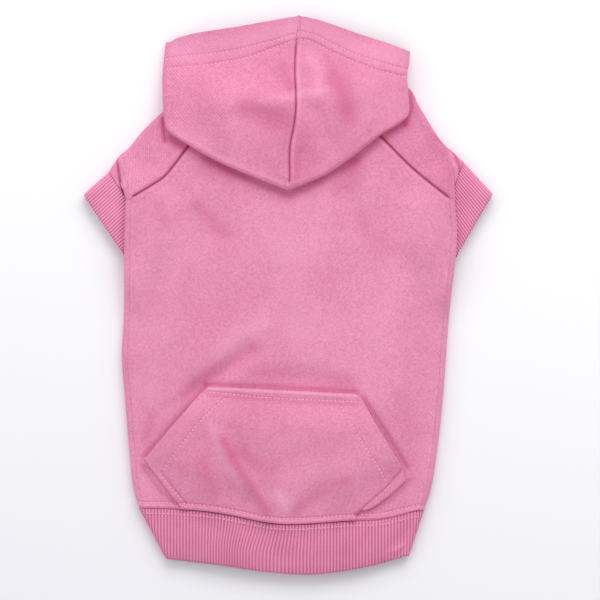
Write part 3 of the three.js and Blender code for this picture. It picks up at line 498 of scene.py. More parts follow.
def belly_rows():
    rows = []
    across = np.linspace(0, 1, 41)[:, None]

    def row(seam, share, bend):
        ends = [body_seams[side][seam].at(share) - [OUTWARD[side] * SEAM_GAP / 2, 0] for side in SIDES]
        flat = mix(ends[1], ends[0], across)
        flat[:, 1] += bend * hem_dip(flat[:, 0]) * (ease(across * 4) * ease((1 - across) * 4))[:, 0]
        return lifted(flat, tuck_lift(flat))

    rows += [row("under_raglan", share, 0) for share in np.linspace(0, 1, 21)[:-1]]
    rows += [row("side_seam", share, ease((share - 0.5) / 0.5)) for share in np.linspace(0, 1, 61)]
    return np.array(rows)


def sleeve_surface(points):
    return relief(points, SLEEVE_FOLDS) + raglan_ditch(points) + ripple(points, 3, 18, 0.4)


def sleeve_rows(side):
    """Rows from the raglan seam over the shoulder fold and back to the seam underneath."""
    out = OUTWARD[side]
    seams = body_seams[side]
    raglan_rows, tuck_rows, columns = 72, 14, 64
    fold_edge = seams["fold"].at(0)
    fold_inner = fold_edge - [out * FOLD_REACH, 0]
    flat = seams["raglan"].at(np.linspace(0, 1, raglan_rows + 1))
    shared = lifted(flat, top_height(flat))
    arc = fold_arc(fold_edge, fold_inner, top_height(fold_inner), tuck_lift(fold_inner) - LAYER_GAP, ARC_COLUMNS)
    shared = np.vstack([shared, arc[1:]])
    last = len(shared) - 1
    count = last + tuck_rows
    ring_tucked = np.array(body(*CUFF_SEAM[side]["tucked"]))
    crease = SLEEVE_CREASE[side]
    rows = []
    for j in range(count + 1):
        on_body = j <= raglan_rows
        closing = max(0, (j - last) / tuck_rows)
        if j <= last:
            start = shared[j].copy()
        else:
            low = mix(shared[last, 2], FOLD_HEIGHT / 2, closing)
            start = np.append(mix(shared[last, :2], ring_tucked, closing), low)
        if closing < 1:
            start[0] += out * SEAM_GAP / 2
            start[1] += SEAM_GAP / 2 if on_body else SEAM_GAP
        past_raglan = max(0, j - raglan_rows) / (count - raglan_rows)
        share = crease * j / raglan_rows if on_body else mix(crease, 1, past_raglan**0.7)
        edge = seams["shoulder"].at(share)
        toward = start[:2] - edge
        inner = edge + toward / np.linalg.norm(toward) * FOLD_REACH
        chord = np.linalg.norm(start[:2] - inner)
        settle = chord if raglan_rows < j <= last else 1.5 * FOLD_REACH
        along = np.linspace(0, 1, columns + 1) ** 1.3
        flat = mix(start[:2], inner, along[:, None])
        base = top_height(flat) if on_body else np.full(columns + 1, float(FOLD_HEIGHT))
        top = lifted(flat, base + (start[2] - base[0]) * (1 - ease(along * chord / settle)) + sleeve_surface(flat))
        around = fold_arc(edge, inner, top[-1, 2], 0, ARC_COLUMNS)
        on_belly = seams["under_raglan"].at(min(1, j / last))
        under_flap = 0 if j < last else FLEECE_WALL + LAYER_GAP
        seam_z = mix(max(0, float(tuck_lift(on_belly)) - under_flap), FOLD_HEIGHT / 2 - SEAM_GAP, closing)
        seam_point = mix(on_belly, ring_tucked, closing)
        if closing < 1:
            seam_point = seam_point + [out * SEAM_GAP / 2, 0]
        along = 1 - (1 - np.linspace(0, 1, columns + 1)[1:]) ** 1.3
        flat = mix(inner, seam_point, along[:, None])
        left_over = np.linalg.norm(flat - seam_point, axis=1)
        under = lifted(flat, seam_z * (1 - ease(left_over / (1.5 * FOLD_REACH))))
        row = np.vstack([top, around[1:], under])
        rows.append(row[::-1] if side == "left" else row)
    return np.array(rows)


# The hood
HOOD_STITCHES = {
    "left": [
        spots((165.5, 60.5), (180, 57.3), (221, 53.2), (255, 46), (279, 39.8), (293.5, 34.8)),
        spots((165.5, 69.5), (172, 68.5), (197, 66.5), (231, 61.8), (255, 55.6), (279, 46.5), (293, 41.4)),
    ],
    "right": [
        spots((298, 32.3), (313.3, 35.5), (332.7, 44.8), (356.9, 55.7), (381, 63.4), (407.5, 70.8)),
        spots((299, 40.2), (311, 41.8), (327.8, 50.6), (352, 61.8), (378.7, 71.4), (405.5, 77.8)),
    ],
}
hood_outline = {side: Seam([hood(*p) for p in HOOD_OUTLINE[side]]) for side in SIDES}
crown_seam = Seam([hood(*p) for p in CROWN_SEAM])
# The sewn line wanders a little from side to side
down_crown = np.linspace(0, 1, len(crown_seam.line))
wander = 0.5 * np.sin(2 * math.pi * (down_crown - 0.335) / 0.46)
crown_seam.line[:, 0] += wander * ease(down_crown / 0.1) * ease((1 - down_crown) / 0.1)
round_body = [SHOULDER_FOLD["left"][0], RAGLAN["left"][0], RAGLAN["right"][0]]
round_body += SHOULDER_FOLD["right"] + SIDE_FOLD["right"] + (SHOULDER_FOLD["left"][1:] + SIDE_FOLD["left"])[::-1]
body_outline = np.array([body(*p) for p in round_body])


def off_body(points):
    """How far each point is outside the body's outline, and 0 inside it."""
    x, y = points[..., 0], points[..., 1]
    inside = np.zeros(points.shape[:-1], bool)
    for a, b in zip(body_outline, np.roll(body_outline, -1, axis=0)):
        if a[1] != b[1]:
            crosses = ((a[1] > y) != (b[1] > y)) & (x < a[0] + (b[0] - a[0]) * (y - a[1]) / (b[1] - a[1]))
            inside ^= crosses
    closed = np.vstack([body_outline, body_outline[:1]])
    return np.where(inside, 0, away_from(points, closed))


def hood_surface(points, side):
    """Outer face of the hood's upper layer."""
    edge = away_from(points, hood_outline[side].line[::9]) - FOLD_REACH
    pouch = mix(HOOD_EDGE_POUCH, HOOD_POUCH, ease(edge / SWELL_REACH))
    carried = (top_height(points, []) + HOOD_GAP) * (1 - ease(off_body(points) / HOOD_SLOPE))
    folds = relief(points, HOOD_FOLDS) * ease(edge / FOLD_REACH) + ripple(points, 7 if side == "left" else 9, 20, 0.5)
    outer, inner = HOOD_STITCHES[side]
    hem_from = np.interp(points[..., 0], inner[:, 0], inner[:, 1])
    thicker = 0.6 * ease((points[..., 1] - hem_from) / 3)
    grooves = sum(-0.7 * np.exp(-((away_from(points, smooth_line(row, 30)) / 1.0) ** 2)) for row in (outer, inner))
    seam = away_from(points, crown_seam.line[::6])
    in_hem = ease((points[..., 1] - hem_from) / 2)
    ditch = (-1.3 * np.exp(-((seam / 0.8) ** 2)) + 0.6 * np.exp(-(((seam - 2.8) / 2) ** 2))) * (1 - 0.75 * in_hem)
    return carried + pouch + folds + thicker + grooves + ditch


def neck_point(side, share):
    out = OUTWARD[side]
    inner = np.array(body(*SHOULDER_FOLD[side][0])) - [out * FOLD_REACH, 0]
    nape = body(0, (RAGLAN["left"][0][1] + RAGLAN["right"][0][1]) / 2)
    throat = body(0, (UNDER_RAGLAN["left"][0][1] + UNDER_RAGLAN["right"][0][1]) / 2)
    if share <= BACK_SHARE:
        flat = Seam([nape, body(*RAGLAN[side][0]), inner]).at(share / BACK_SHARE) + [0, NECK_AHEAD]
        return np.append(flat, top_height(flat) + HOOD_GAP)
    if share < BACK_SHARE + TURN_SHARE:
        angle = math.pi * (share - BACK_SHARE) / TURN_SHARE
        ahead = NECK_AHEAD + 2 * SEAM_GAP * math.sin(angle / 2)
        flat = inner + [out * (FOLD_REACH + HOOD_GAP) * math.sin(angle), ahead]
        return np.append(flat, (FOLD_HEIGHT + HOOD_GAP) * (0.5 + 0.5 * math.cos(angle)))
    along = (share - BACK_SHARE - TURN_SHARE) / (1 - BACK_SHARE - TURN_SHARE)
    flat = Seam([inner, body(*UNDER_RAGLAN[side][0]), throat]).at(along) + [0, NECK_AHEAD + 2 * SEAM_GAP]
    return np.append(flat, 0)


def hood_rows(side):
    out = OUTWARD[side]
    leaves = HOOD_LEAVES[side]
    turned = BACK_SHARE + TURN_SHARE
    row_count, under_count, top_count = 150, 14, 136
    rows = []
    for share in crowded(row_count, 0.4):
        if share <= BACK_SHARE:
            edge_share = leaves * share / BACK_SHARE
        elif share < turned:
            edge_share = leaves + HOOD_TURN * (share - BACK_SHARE) / TURN_SHARE
        else:
            edge_share = mix(leaves + HOOD_TURN, 1, (share - turned) / (1 - turned))
        edge = hood_outline[side].at(min(1, edge_share))
        neck = neck_point(side, share)
        crown = crown_seam.at(share) + [out * SEAM_GAP / 2, 0]
        if share == 0:
            edge = edge + [out * SEAM_GAP / 2, 0]
        if share in (0, 1):
            neck[0] += out * SEAM_GAP / 2

        def toward(other):
            span = np.linalg.norm(edge - other)
            return edge + (other - edge) / span * min(FOLD_REACH, 0.45 * span)

        under_inner, top_inner = toward(neck[:2]), toward(crown)
        along = np.linspace(0, 1, under_count + 1)
        flat = mix(neck[:2], under_inner, along[:, None])
        if share <= BACK_SHARE:
            under_z = top_height(flat) + HOOD_GAP
        else:
            drape = (top_height(under_inner) + HOOD_GAP) * (1 - ease((off_body(under_inner) - 1) / (2 * FOLD_REACH)))
            under_z = mix(neck[2], drape, along)
        under = lifted(flat, under_z)
        along = crowded(top_count, 0.55)
        flat = mix(top_inner, crown, along[:, None])
        flat[:, 1] += np.interp(along, *np.transpose(FACE_BOW[side])) * share**6
        top = lifted(flat, hood_surface(flat, side))
        angle = np.pi * np.arange(1, ARC_COLUMNS) / ARC_COLUMNS
        inner = mix(under_inner, top_inner, (np.arange(1, ARC_COLUMNS) / ARC_COLUMNS)[:, None])
        arc = lifted(mix(inner, edge, np.sin(angle)[:, None]), mix(under_z[-1], top[0, 2], 0.5 - 0.5 * np.cos(angle)))
        row = np.vstack([under, arc, top])
        rows.append(row[::-1] if side == "left" else row)
    return np.array(rows)


# The pocket
POCKET_TOP = spots((209, 385.8), (356, 393.4))
POCKET_LEFT = spots((209, 386), (200, 393.5), (144.3, 459.6), (149, 466), (180.7, 507.4))
POCKET_RIGHT = spots((355.7, 393.6), (361.6, 398.2), (402.6, 467.2), (387.3, 486.4), (355.7, 515.5))
POCKET_STITCHES = [
    spots((208.5, 391.8), (231.4, 393.8), (263.9, 397.2), (336.6, 400.9), (361, 401.2)),
    spots((226, 397.5), (202.7, 418.6), (177.8, 449), (161.6, 472)),
    spots((340.4, 405.5), (361.5, 441.2), (376.8, 464.4), (386.4, 482.5)),
    spots((159.5, 472.5), (172, 488), (185, 502)),
]
POCKET_STITCH_LINES = [smooth_line(row, 24) for row in POCKET_STITCHES]


def pocket_down(points):
    tilt = (POCKET_TOP[1, 1] - POCKET_TOP[0, 1]) / (POCKET_TOP[1, 0] - POCKET_TOP[0, 0])
    top = POCKET_TOP[0, 1] + tilt * (points[..., 0] - POCKET_TOP[0, 0])
    bottom = hem_seam_y(points[..., 0]) + 0.3
    return top, bottom, (top - points[..., 1]) / (top - bottom)


def pocket_surface(points):
    """Outer face of the pocket."""
    _, _, down = pocket_down(points)
    left = np.interp(down, np.maximum.accumulate(pocket_down(POCKET_LEFT)[2]), POCKET_LEFT[:, 0])
    right = np.interp(down, np.maximum.accumulate(pocket_down(POCKET_RIGHT)[2]), POCKET_RIGHT[:, 0])
    across = (points[..., 0] - left) / (right - left)
    side_stand = 0.75 * (1 - ease((down - 0.5) / 0.2))
    share = mix(side_stand, 1, ease(np.minimum(across, 1 - across) / 0.22))
    stand = POCKET_POUCH * 0.8 * ease(down / 0.3) * ease((1 - down) / 0.35) * share
    rim = np.minimum(away_from(points, POCKET_LEFT), away_from(points, POCKET_RIGHT))
    rim = np.minimum(rim, away_from(points, POCKET_TOP))
    rounded = -1.4 * (1 - np.sqrt(1 - (1 - np.clip(rim / 1.6, 0, 1)) ** 2))
    top_roll = 0.9 * np.exp(-(((away_from(points, POCKET_TOP) - 2) / 1.6) ** 2))
    grooves = sum(-0.6 * np.exp(-((away_from(points, row) / 0.9) ** 2)) for row in POCKET_STITCH_LINES)
    hems = np.zeros(points.shape[:-1])
    for line, edge in ((POCKET_STITCH_LINES[1], POCKET_LEFT[1:3]), (POCKET_STITCH_LINES[2], POCKET_RIGHT[1:3])):
        hems += 0.5 * np.exp(-((away_from(points, (line[[2, -3]] + edge) / 2) / 4) ** 2))
    folds = relief(points, POCKET_FOLDS) + ripple(points, 12, 18, 0.35)
    base = top_height(points) + mix(POCKET_GAP, 0.3, ease((down - 0.9) / 0.08)) + FLEECE_WALL
    return base + stand + rounded + top_roll + grooves + hems + folds * ease(rim / 4) + hem_roll(points)


def pocket_rows():
    rows = []
    left_down, right_down = (np.maximum.accumulate(pocket_down(edge)[2]) for edge in (POCKET_LEFT, POCKET_RIGHT))
    for down in crowded(130, 0.5):
        left = np.interp(down, left_down, POCKET_LEFT[:, 0])
        right = np.interp(down, right_down, POCKET_RIGHT[:, 0])
        x = mix(left, right, crowded(196, 0.6))
        flat = np.column_stack([x, x])
        top, bottom, _ = pocket_down(flat)
        flat[:, 1] = mix(top, bottom, down)
        rows.append(lifted(flat, pocket_surface(flat)))
    return np.array(rows)


TURNED_OUTER = spots((402.9, 468), (405.7, 480.4), (388.5, 496), (373, 507.2), (364, 510.6))
TURNED_INNER = spots((395, 466), (393, 474), (380, 487), (366, 498), (358, 505))


def turned_edge_rows():
    """The pocket's turned edge, which shows below its right corner."""
    rows = []
    for share in crowded(60, 0.2):
        place = share * (len(TURNED_OUTER) - 1)
        i = min(int(place), len(TURNED_OUTER) - 2)
        a = mix(TURNED_INNER[i], TURNED_INNER[i + 1], place - i)
        b = mix(TURNED_OUTER[i], TURNED_OUTER[i + 1], place - i)
        flat = mix(a, b, crowded(16, 0.6)[:, None])
        rim = away_from(flat, TURNED_OUTER)
        rounded = -1.3 * (1 - np.sqrt(1 - (1 - np.clip(rim / 1.5, 0, 1)) ** 2))
        rows.append(lifted(flat, top_height(flat) + LAYER_GAP + FLEECE_WALL + rounded - 0.3 * ease((rim - 4) / 3)))
    return np.array(rows)


# Making the pieces
def finish_piece(name, bm, material, stands_for=()):
    mesh = bpy.data.meshes.new(name)
    bm.to_mesh(mesh)
    bm.free()
    for polygon in mesh.polygons:
        polygon.use_smooth = True
    piece = bpy.data.objects.new(name, mesh)
    bpy.context.scene.collection.objects.link(piece)
    mesh.materials.append(material)
    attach(piece, "root")
    if stands_for:
        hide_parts(*stands_for)
    return piece


def give_wall(piece, wall):
    modifier = piece.modifiers.new("wall", "SOLIDIFY")
    modifier.thickness = wall * MM
    modifier.offset = -1
    modifier.use_rim = True


def cloth_lengths(rows, axis):
    """Each point's length along the cloth, from its first column or row."""
    steps = np.linalg.norm(np.diff(rows, axis=axis), axis=2)
    return np.insert(np.cumsum(steps, axis=axis), 0, 0, axis=axis)


def cloth(name, rows, wall, material, painted_light_marks, stands_for=(), leave_out=None):
    """A sheet of cloth on rows of points. Its UV map holds the lengths along the cloth in millimetres, and its crease
    attribute holds the painted shade and painted highlight of the marks.
    """
    deeper = relief(rows[..., :2], painted_light_marks)
    row_count, column_count = rows.shape[0] - 1, rows.shape[1] - 1
    across, along = cloth_lengths(rows, 1), cloth_lengths(rows, 0)
    across -= across[:, column_count // 2 : column_count // 2 + 1]
    bm = bmesh.new()
    bmesh.ops.create_grid(bm, x_segments=column_count, y_segments=row_count, size=0.5)
    bm.verts.ensure_lookup_table()
    # Painted shade above 0 and painted highlight below 0, for each point
    crease = bm.verts.layers.float.new("crease")
    place = {}
    for vertex in bm.verts:
        i = round((vertex.co.x + 0.5) * column_count)
        j = round((vertex.co.y + 0.5) * row_count)
        place[vertex.index] = (j, i)
        vertex[crease] = deeper[j, i]
        x, y, z = rows[j, i]
        vertex.co = ((x + CENTRE[0]) * MM, (y + CENTRE[1]) * MM, z * MM)
    layer = bm.loops.layers.uv.new("cloth")
    gone = []
    for face in bm.faces:
        spans = [place[vertex.index] for vertex in face.verts]
        for loop, (j, i) in zip(face.loops, spans):
            loop[layer].uv = (across[j, i], -along[j, i])
        if leave_out and leave_out(min(j for j, _ in spans), min(i for _, i in spans)):
            gone.append(face)
    if gone:
        bmesh.ops.delete(bm, geom=gone, context="FACES")
    bmesh.ops.reverse_faces(bm, faces=bm.faces)
    bmesh.ops.remove_doubles(bm, verts=bm.verts, dist=0.00002)
    piece = finish_piece(name, bm, material, stands_for)
    give_wall(piece, wall)
    return piece


def flat_ring(place, left, right):
    """Points round a flattened ring, by their length along it from the middle of its left end over the top.
    Gives each one's place on the ring's middle line, the line's heading, and its shares outward and upward."""
    width = np.linalg.norm(right - left)
    heading = (right - left) / width
    straight, arc = width - 2 * FOLD_REACH, math.pi * FOLD_REACH
    marks = [0, arc, arc + straight, 2 * arc + straight, 2 * (arc + straight)]
    place = (place + arc / 2) % marks[-1]
    near, far = FOLD_REACH, width - FOLD_REACH
    inset = np.interp(place, marks, [near, near, far, far, near])
    turn = np.interp(place, marks, [-math.pi, 0, 0, math.pi, math.pi])
    return left + heading * inset[:, None], heading, np.sin(turn), np.cos(turn)


def ring_length(left, right):
    return 2 * (np.linalg.norm(right - left) - 2 * FOLD_REACH + math.pi * FOLD_REACH)


def rib_tube(name, rings, ribs, rows, material, stands_for):
    """A tube of ribbing. rings(shares, depth) gives the points and the normals."""
    per_rib = 6
    columns = ribs * per_rib
    bm = bmesh.new()
    bmesh.ops.create_cone(bm, cap_ends=False, segments=columns, radius1=1, radius2=1, depth=1)
    upright = [e for e in bm.edges if abs(e.verts[0].co.z - e.verts[1].co.z) > 0.5]
    bmesh.ops.subdivide_edges(bm, edges=upright, cuts=rows - 1, use_grid_fill=True)
    shares = np.arange(columns) / columns
    groove = RIB_HEIGHT * (np.abs(np.sin(np.pi * np.arange(columns) / per_rib)) ** 0.75 - 1)
    levels = []
    for depth in np.linspace(0, 1, rows + 1):
        points, normals = rings(shares, depth)
        turned_in = 0.35 * (1 - ease((1 - depth) / 0.04)) + 0.1 * (1 - ease(depth / 0.04))
        levels.append(points + normals * (groove - turned_in)[:, None])
    layer = bm.loops.layers.uv.new("cloth")
    place = {}
    for vertex in bm.verts:
        i = round(math.atan2(vertex.co.x, vertex.co.y) / (2 * math.pi) * columns) % columns
        place[vertex] = (round((0.5 - vertex.co.z) * rows), i)
    for face in bm.faces:
        wraps = max(place[v][1] for v in face.verts) - min(place[v][1] for v in face.verts) > 1
        for loop in face.loops:
            k, i = place[loop.vert]
            i += columns if wraps and i < columns / 2 else 0
            loop[layer].uv = (i / per_rib, k / rows)
    for vertex, (k, i) in place.items():
        x, y, z = levels[k][i]
        vertex.co = ((x + CENTRE[0]) * MM, (y + CENTRE[1]) * MM, max(z, 0) * MM)
    bmesh.ops.recalc_face_normals(bm, faces=bm.faces)
    middle = FOLD_HEIGHT / 2 * MM
    if sum(face.normal.z * (face.calc_center_median().z - middle) for face in bm.faces) < 0:
        bmesh.ops.reverse_faces(bm, faces=bm.faces)
    piece = finish_piece(name, bm, material, stands_for)
    give_wall(piece, RIB_WALL)
    return piece


def cuff_rings(side):
    """Rings of a cuff from its seam to its mouth, and the length round its seam."""
    seam = CUFF_SEAM[side]
    top, tucked = np.array(body(*seam["top"])), np.array(body(*seam["tucked"]))
    axis = (tucked - top) / np.linalg.norm(tucked - top)
    out = np.array([axis[1], -axis[0]]) * -OUTWARD[side]
    out_shift, down_shift = CUFF_SEAM_SHIFT[side]
    early = np.array([out_shift * CHEST_WIDTH / 2, -down_shift * BACK_LENGTH])
    around = ring_length(top + early, tucked)

    def rings(shares, depth):
        shift = out * mix(SEAM_GAP, CUFF_DEPTH, depth) + axis * depth * seam["slide"] * CUFF_DEPTH
        ends = [top + shift + early * (1 - depth), tucked + shift + np.array(CUFF_MOUTH_REACH[side]) * depth]
        left, right = ends if side == "left" else ends[::-1]
        centre, heading, aside, upward = flat_ring(shares * ring_length(left, right), left, right)
        flat = centre + heading * (aside * FOLD_REACH)[:, None]
        high = FOLD_HEIGHT + 0.5 * math.sin(math.pi * depth) + relief(flat, CUFF_FOLDS) * np.maximum(upward, 0)
        normals = np.column_stack([heading * aside[:, None], upward])
        return lifted(flat, high * (0.5 + 0.5 * upward)), normals

    return rings, around


seam_ends = np.array([body_seams[side]["fold"].at(1) for side in SIDES])
mouth_ends = seam_ends - [
    [OUTWARD[side] * MOUTH_CORNER[side][0] * CHEST_WIDTH / 2, MOUTH_CORNER[side][1] * HEM_DEPTH] for side in SIDES
]
sag_line = smooth_line(MOUTH_SAG)


def hem_top(points, depth):
    """Height of the hem band's top layer, at a depth from 0 at its seam to 1 at its mouth."""
    x = points[..., 0]
    ends = mix(seam_ends, mouth_ends, depth)
    inland = np.minimum(x - ends[0, 0], ends[1, 0] - x) - FOLD_REACH
    at_seam = top_height(np.stack([x, hem_seam_y(x)], axis=-1), [])
    at_mouth = mix(FOLD_HEIGHT, HEM_MOUTH_HEIGHT, ease(inland / SWELL_REACH))
    swell = 0.9 * math.sin(math.pi * min(1, depth * 1.1)) - 1.4 * max(0, depth - 0.85) / 0.15
    in_pocket = ease((x - POCKET_LEFT[-1, 0]) / 9) * ease((POCKET_RIGHT[-1, 0] - x) / 9)
    at_pocket = 1.3 * in_pocket * (1 - ease(depth / 0.25))
    folds = relief(points, HEM_FOLDS) * ease(inland / 5)
    return mix(at_seam, at_mouth, depth) + swell * ease(inland / 10) + at_pocket + folds


def hem_rings():
    """Rings of the hem band from its seam to its mouth, and the length round its seam. Its ribs run straight
    down past its slanted folds."""
    around_seam = ring_length(*seam_ends)
    half = around_seam / 2
    gather = spot(262, 540)[0] - seam_ends[0, 0]

    def rings(shares, depth):
        ends = mix(seam_ends, mouth_ends, depth)
        around = ring_length(*ends)
        at_seam = shares * around_seam
        start = (seam_ends[0, 0] - mouth_ends[0, 0]) * depth
        middle = half + start
        place = np.where(shares <= 0.5, at_seam + start, middle + (at_seam - half) * (around + start - middle) / half)
        lean = 5.5 * ease(depth * 1.4) * np.exp(-(((at_seam - gather) / 26) ** 2))
        centre, heading, aside, upward = flat_ring(place - lean * (shares <= 0.5), *ends)
        across = (centre[:, 0] - ends[0, 0]) / (ends[1, 0] - ends[0, 0])
        at_mouth = -HEM_DEPTH * np.interp(across, sag_line[:, 0], sag_line[:, 1])
        dip = hem_dip(mix(seam_ends[0, 0], seam_ends[1, 0], across)) - SEAM_GAP
        flat = centre + heading * (aside * FOLD_REACH)[:, None]
        flat[:, 1] += mix(dip, at_mouth, depth)
        normals = np.column_stack([heading * aside[:, None], upward])
        return lifted(flat, hem_top(flat, depth) * (0.5 + 0.5 * upward)), normals

    return rings, around_seam


def stitch_run(name, runs, surface, material, pitch=2.9, length=2.1, thick=0.42):
    """Rows of short stitches lying on a surface, in its grooves."""
    bm = bmesh.new()
    for run in runs:
        seam = Seam(run)
        count = int(seam.length / pitch)
        for k in range(count):
            middle = (k + 0.5) * pitch / seam.length
            ends = seam.at([middle - 0.4 * length / seam.length, middle + 0.4 * length / seam.length])
            a, b = (Vector((*end, float(surface(end)))) for end in ends)
            along = (b - a).normalized()
            side = Vector((0, 0, 1)).cross(along).normalized()
            turn = Matrix((along, side, along.cross(side))).transposed().to_4x4()
            centre = (a + b) / 2 + Vector((CENTRE[0], CENTRE[1], thick * 0.35))
            matrix = Matrix.Translation(centre * MM) @ turn @ Matrix.Diagonal(
                (length / 2 * MM, thick * MM, thick * 0.8 * MM, 1)
            )
            bmesh.ops.create_uvsphere(bm, u_segments=8, v_segments=5, radius=1, matrix=matrix)
    return finish_piece(name, bm, material)


# Materials
class Socket:
    """A value in a material's nodes that takes part in sums."""

    def __init__(self, maker, link):
        self.maker, self.link = maker, link

    def sum(self, operation, first, second):
        return self.maker.node("ShaderNodeMath", {"operation": operation}, {0: first, 1: second})

    def __add__(self, other):
        return self.sum("ADD", self, other)

    def __radd__(self, other):
        return self.sum("ADD", other, self)

    def __sub__(self, other):
        return self.sum("SUBTRACT", self, other)

    def __rsub__(self, other):
        return self.sum("SUBTRACT", other, self)

    def __mul__(self, other):
        return self.sum("MULTIPLY", self, other)

    def __rmul__(self, other):
        return self.sum("MULTIPLY", other, self)

    def __truediv__(self, other):
        return self.sum("DIVIDE", self, other)


class Finish:
    """Makes one material's nodes."""

    def __init__(self, name):
        self.material = bpy.data.materials.new(name)
        self.material.use_nodes = True
        self.tree = self.material.node_tree
        self.shader = self.tree.nodes["Principled BSDF"]

    def node(self, kind, settings, values, output=0):
        made = self.tree.nodes.new(kind)
        for key, value in settings.items():
            setattr(made, key, value)
        for key, value in values.items():
            self.plug(value, made.inputs[key])
        return Socket(self, made.outputs[output])

    def plug(self, value, socket):
        if isinstance(value, Socket):
            self.tree.links.new(value.link, socket)
        else:
            socket.default_value = value

    def set(self, key, value):
        self.plug(value, self.shader.inputs[key])

    def apart(self, vector):
        """The first two numbers of a vector."""
        first = self.node("ShaderNodeSeparateXYZ", {}, {0: vector})
        return first, Socket(self, first.link.node.outputs[1])

    def specks(self, place, scale, detail, roughness):
        return self.node(
            "ShaderNodeTexNoise", {}, {"Vector": place, "Scale": scale, "Detail": detail, "Roughness": roughness}
        )

    def blend(self, share, first, second):
        """Two colours mixed by a share, which is kept from 0 to 1."""
        share = self.node("ShaderNodeClamp", {}, {0: share})
        return self.node("ShaderNodeMix", {"data_type": "RGBA"}, {"Factor": share, 6: first, 7: second}, 2)

    def bump(self, height, strength, distance):
        values = {"Strength": strength, "Distance": distance, "Height": height}
        self.set("Normal", self.node("ShaderNodeBump", {}, values))

    def nap(self, weight, roughness, tint):
        """The soft light edge of brushed or knitted cloth."""
        self.set("Sheen Weight", weight)
        self.set("Sheen Roughness", roughness)
        self.set("Sheen Tint", linear(*tint))
        self.set("Specular IOR Level", 0.2)


def linear(red, green, blue):
    """A colour of the screen, from 0 to 255, as light."""
    light = [v / 255 / 12.92 if v <= 10 else ((v / 255 + 0.055) / 1.055) ** 2.4 for v in (red, green, blue)]
    return (*light, 1)


# Painted shade colour (deeper pink in folds, seams and under the hood's edges) and painted highlight colour (lighter
# pink on ridges and rolls)
PAINTED_SHADE_PINK = (200, 84, 130)
PAINTED_HIGHLIGHT_PINK = (252, 182, 211)


def fleece(name, shade, deep, wale=1.5, lean=0.0, noise_seed=0.0, contrast=1.0):
    """Brushed jersey: fine wales of slanting stitches, a speckle of fibres and faint worn patches, with painted shade
    and painted highlights from the crease attribute.
    """
    made = Finish(name)
    uv = made.node("ShaderNodeUVMap", {"uv_map": "cloth"}, {})
    u, v = made.apart(uv)
    wobble = made.node("ShaderNodeTexNoise", {"noise_dimensions": "2D"}, {"Vector": uv, "Scale": 0.12, "Detail": 1.0})
    across = (u + v * lean + wobble * 0.9) / wale
    wave = made.node("ShaderNodeMath", {"operation": "PINGPONG"}, {0: across, 1: 0.5}) * 2
    course = (v + wave * 0.55) / 1.15
    loop = made.node("ShaderNodeMath", {"operation": "SINE"}, {0: course * (2 * math.pi)}) * 0.5 + 0.5
    knit = wave * (0.55 + loop * 0.45)
    place = made.node("ShaderNodeTexCoord", {}, {}, 3)
    fibres = made.specks(place, 1150.0 + noise_seed, 3.0, 0.65)
    speckle = made.specks(place, 520.0 + noise_seed, 2.0, 0.6)
    patches = made.specks(place, 22.0 + noise_seed / 50, 4.0, 0.55)
    tone = 0.5 + (knit - 0.4) * (0.42 * contrast) + (patches - 0.5) * 0.8
    tone = tone + (fibres - 0.5) * 0.9 + (speckle - 0.5)
    # Painted shade and painted highlight: the crease attribute blends the colour towards deeper pink above 0 and
    # lighter pink below 0
    crease = made.node("ShaderNodeAttribute", {"attribute_name": "crease"}, {}, 2)
    colour = made.blend(tone, linear(*deep), linear(*shade))
    colour = made.blend(crease * 0.8, colour, linear(*PAINTED_SHADE_PINK))
    colour = made.blend(crease * -0.8, colour, linear(*PAINTED_HIGHLIGHT_PINK))
    made.set("Base Color", colour)
    made.set("Roughness", 0.9 - fibres * 0.1)
    made.bump(knit * 0.8 + fibres * 0.6 + speckle * 0.4, 0.55, 0.00035)
    made.nap(0.22, 0.45, (255, 214, 230))
    return made.material


def ribbing(name, shade, deep):
    """Rib knit: each rib is a column of stitches, with painted shade deepening the colour in the grooves between the
    ribs.
    """
    made = Finish(name)
    uv = made.node("ShaderNodeUVMap", {"uv_map": "cloth"}, {})
    around, down = made.apart(uv)
    rib = made.node("ShaderNodeMath", {"operation": "PINGPONG"}, {0: around, 1: 0.5}) * 2
    course = down * 24 + rib * 0.5
    loop = made.node("ShaderNodeMath", {"operation": "SINE"}, {0: course * (2 * math.pi)}) * 0.5 + 0.5
    place = made.node("ShaderNodeTexCoord", {}, {}, 3)
    fibres = made.specks(place, 1250.0, 3.0, 0.65)
    patches = made.specks(place, 34.0, 3.0, 0.55)
    # Painted shade: the colour is deepest where rib is 0, in the grooves of the geometry between the ribs
    tone = 0.12 + rib * 0.62 + (loop - 0.5) * 0.14 + (fibres - 0.5) * 0.8 + (patches - 0.5) * 0.5
    made.set("Base Color", made.blend(tone, linear(*deep), linear(*shade)))
    made.set("Roughness", 0.92 - fibres * 0.1)
    made.bump(loop * 0.5 + fibres * 0.6, 0.5, 0.0003)
    made.nap(0.15, 0.5, (255, 210, 226))
    return made.material


def thread(name, shade, deep):
    """Twisted sewing thread."""
    made = Finish(name)
    twist = made.specks(made.node("ShaderNodeTexCoord", {}, {}, 3), 1800.0, 2.0, 0.5)
    made.set("Base Color", made.blend(twist, linear(*deep), linear(*shade)))
    made.set("Roughness", 0.55 + twist * 0.2)
    return made.material


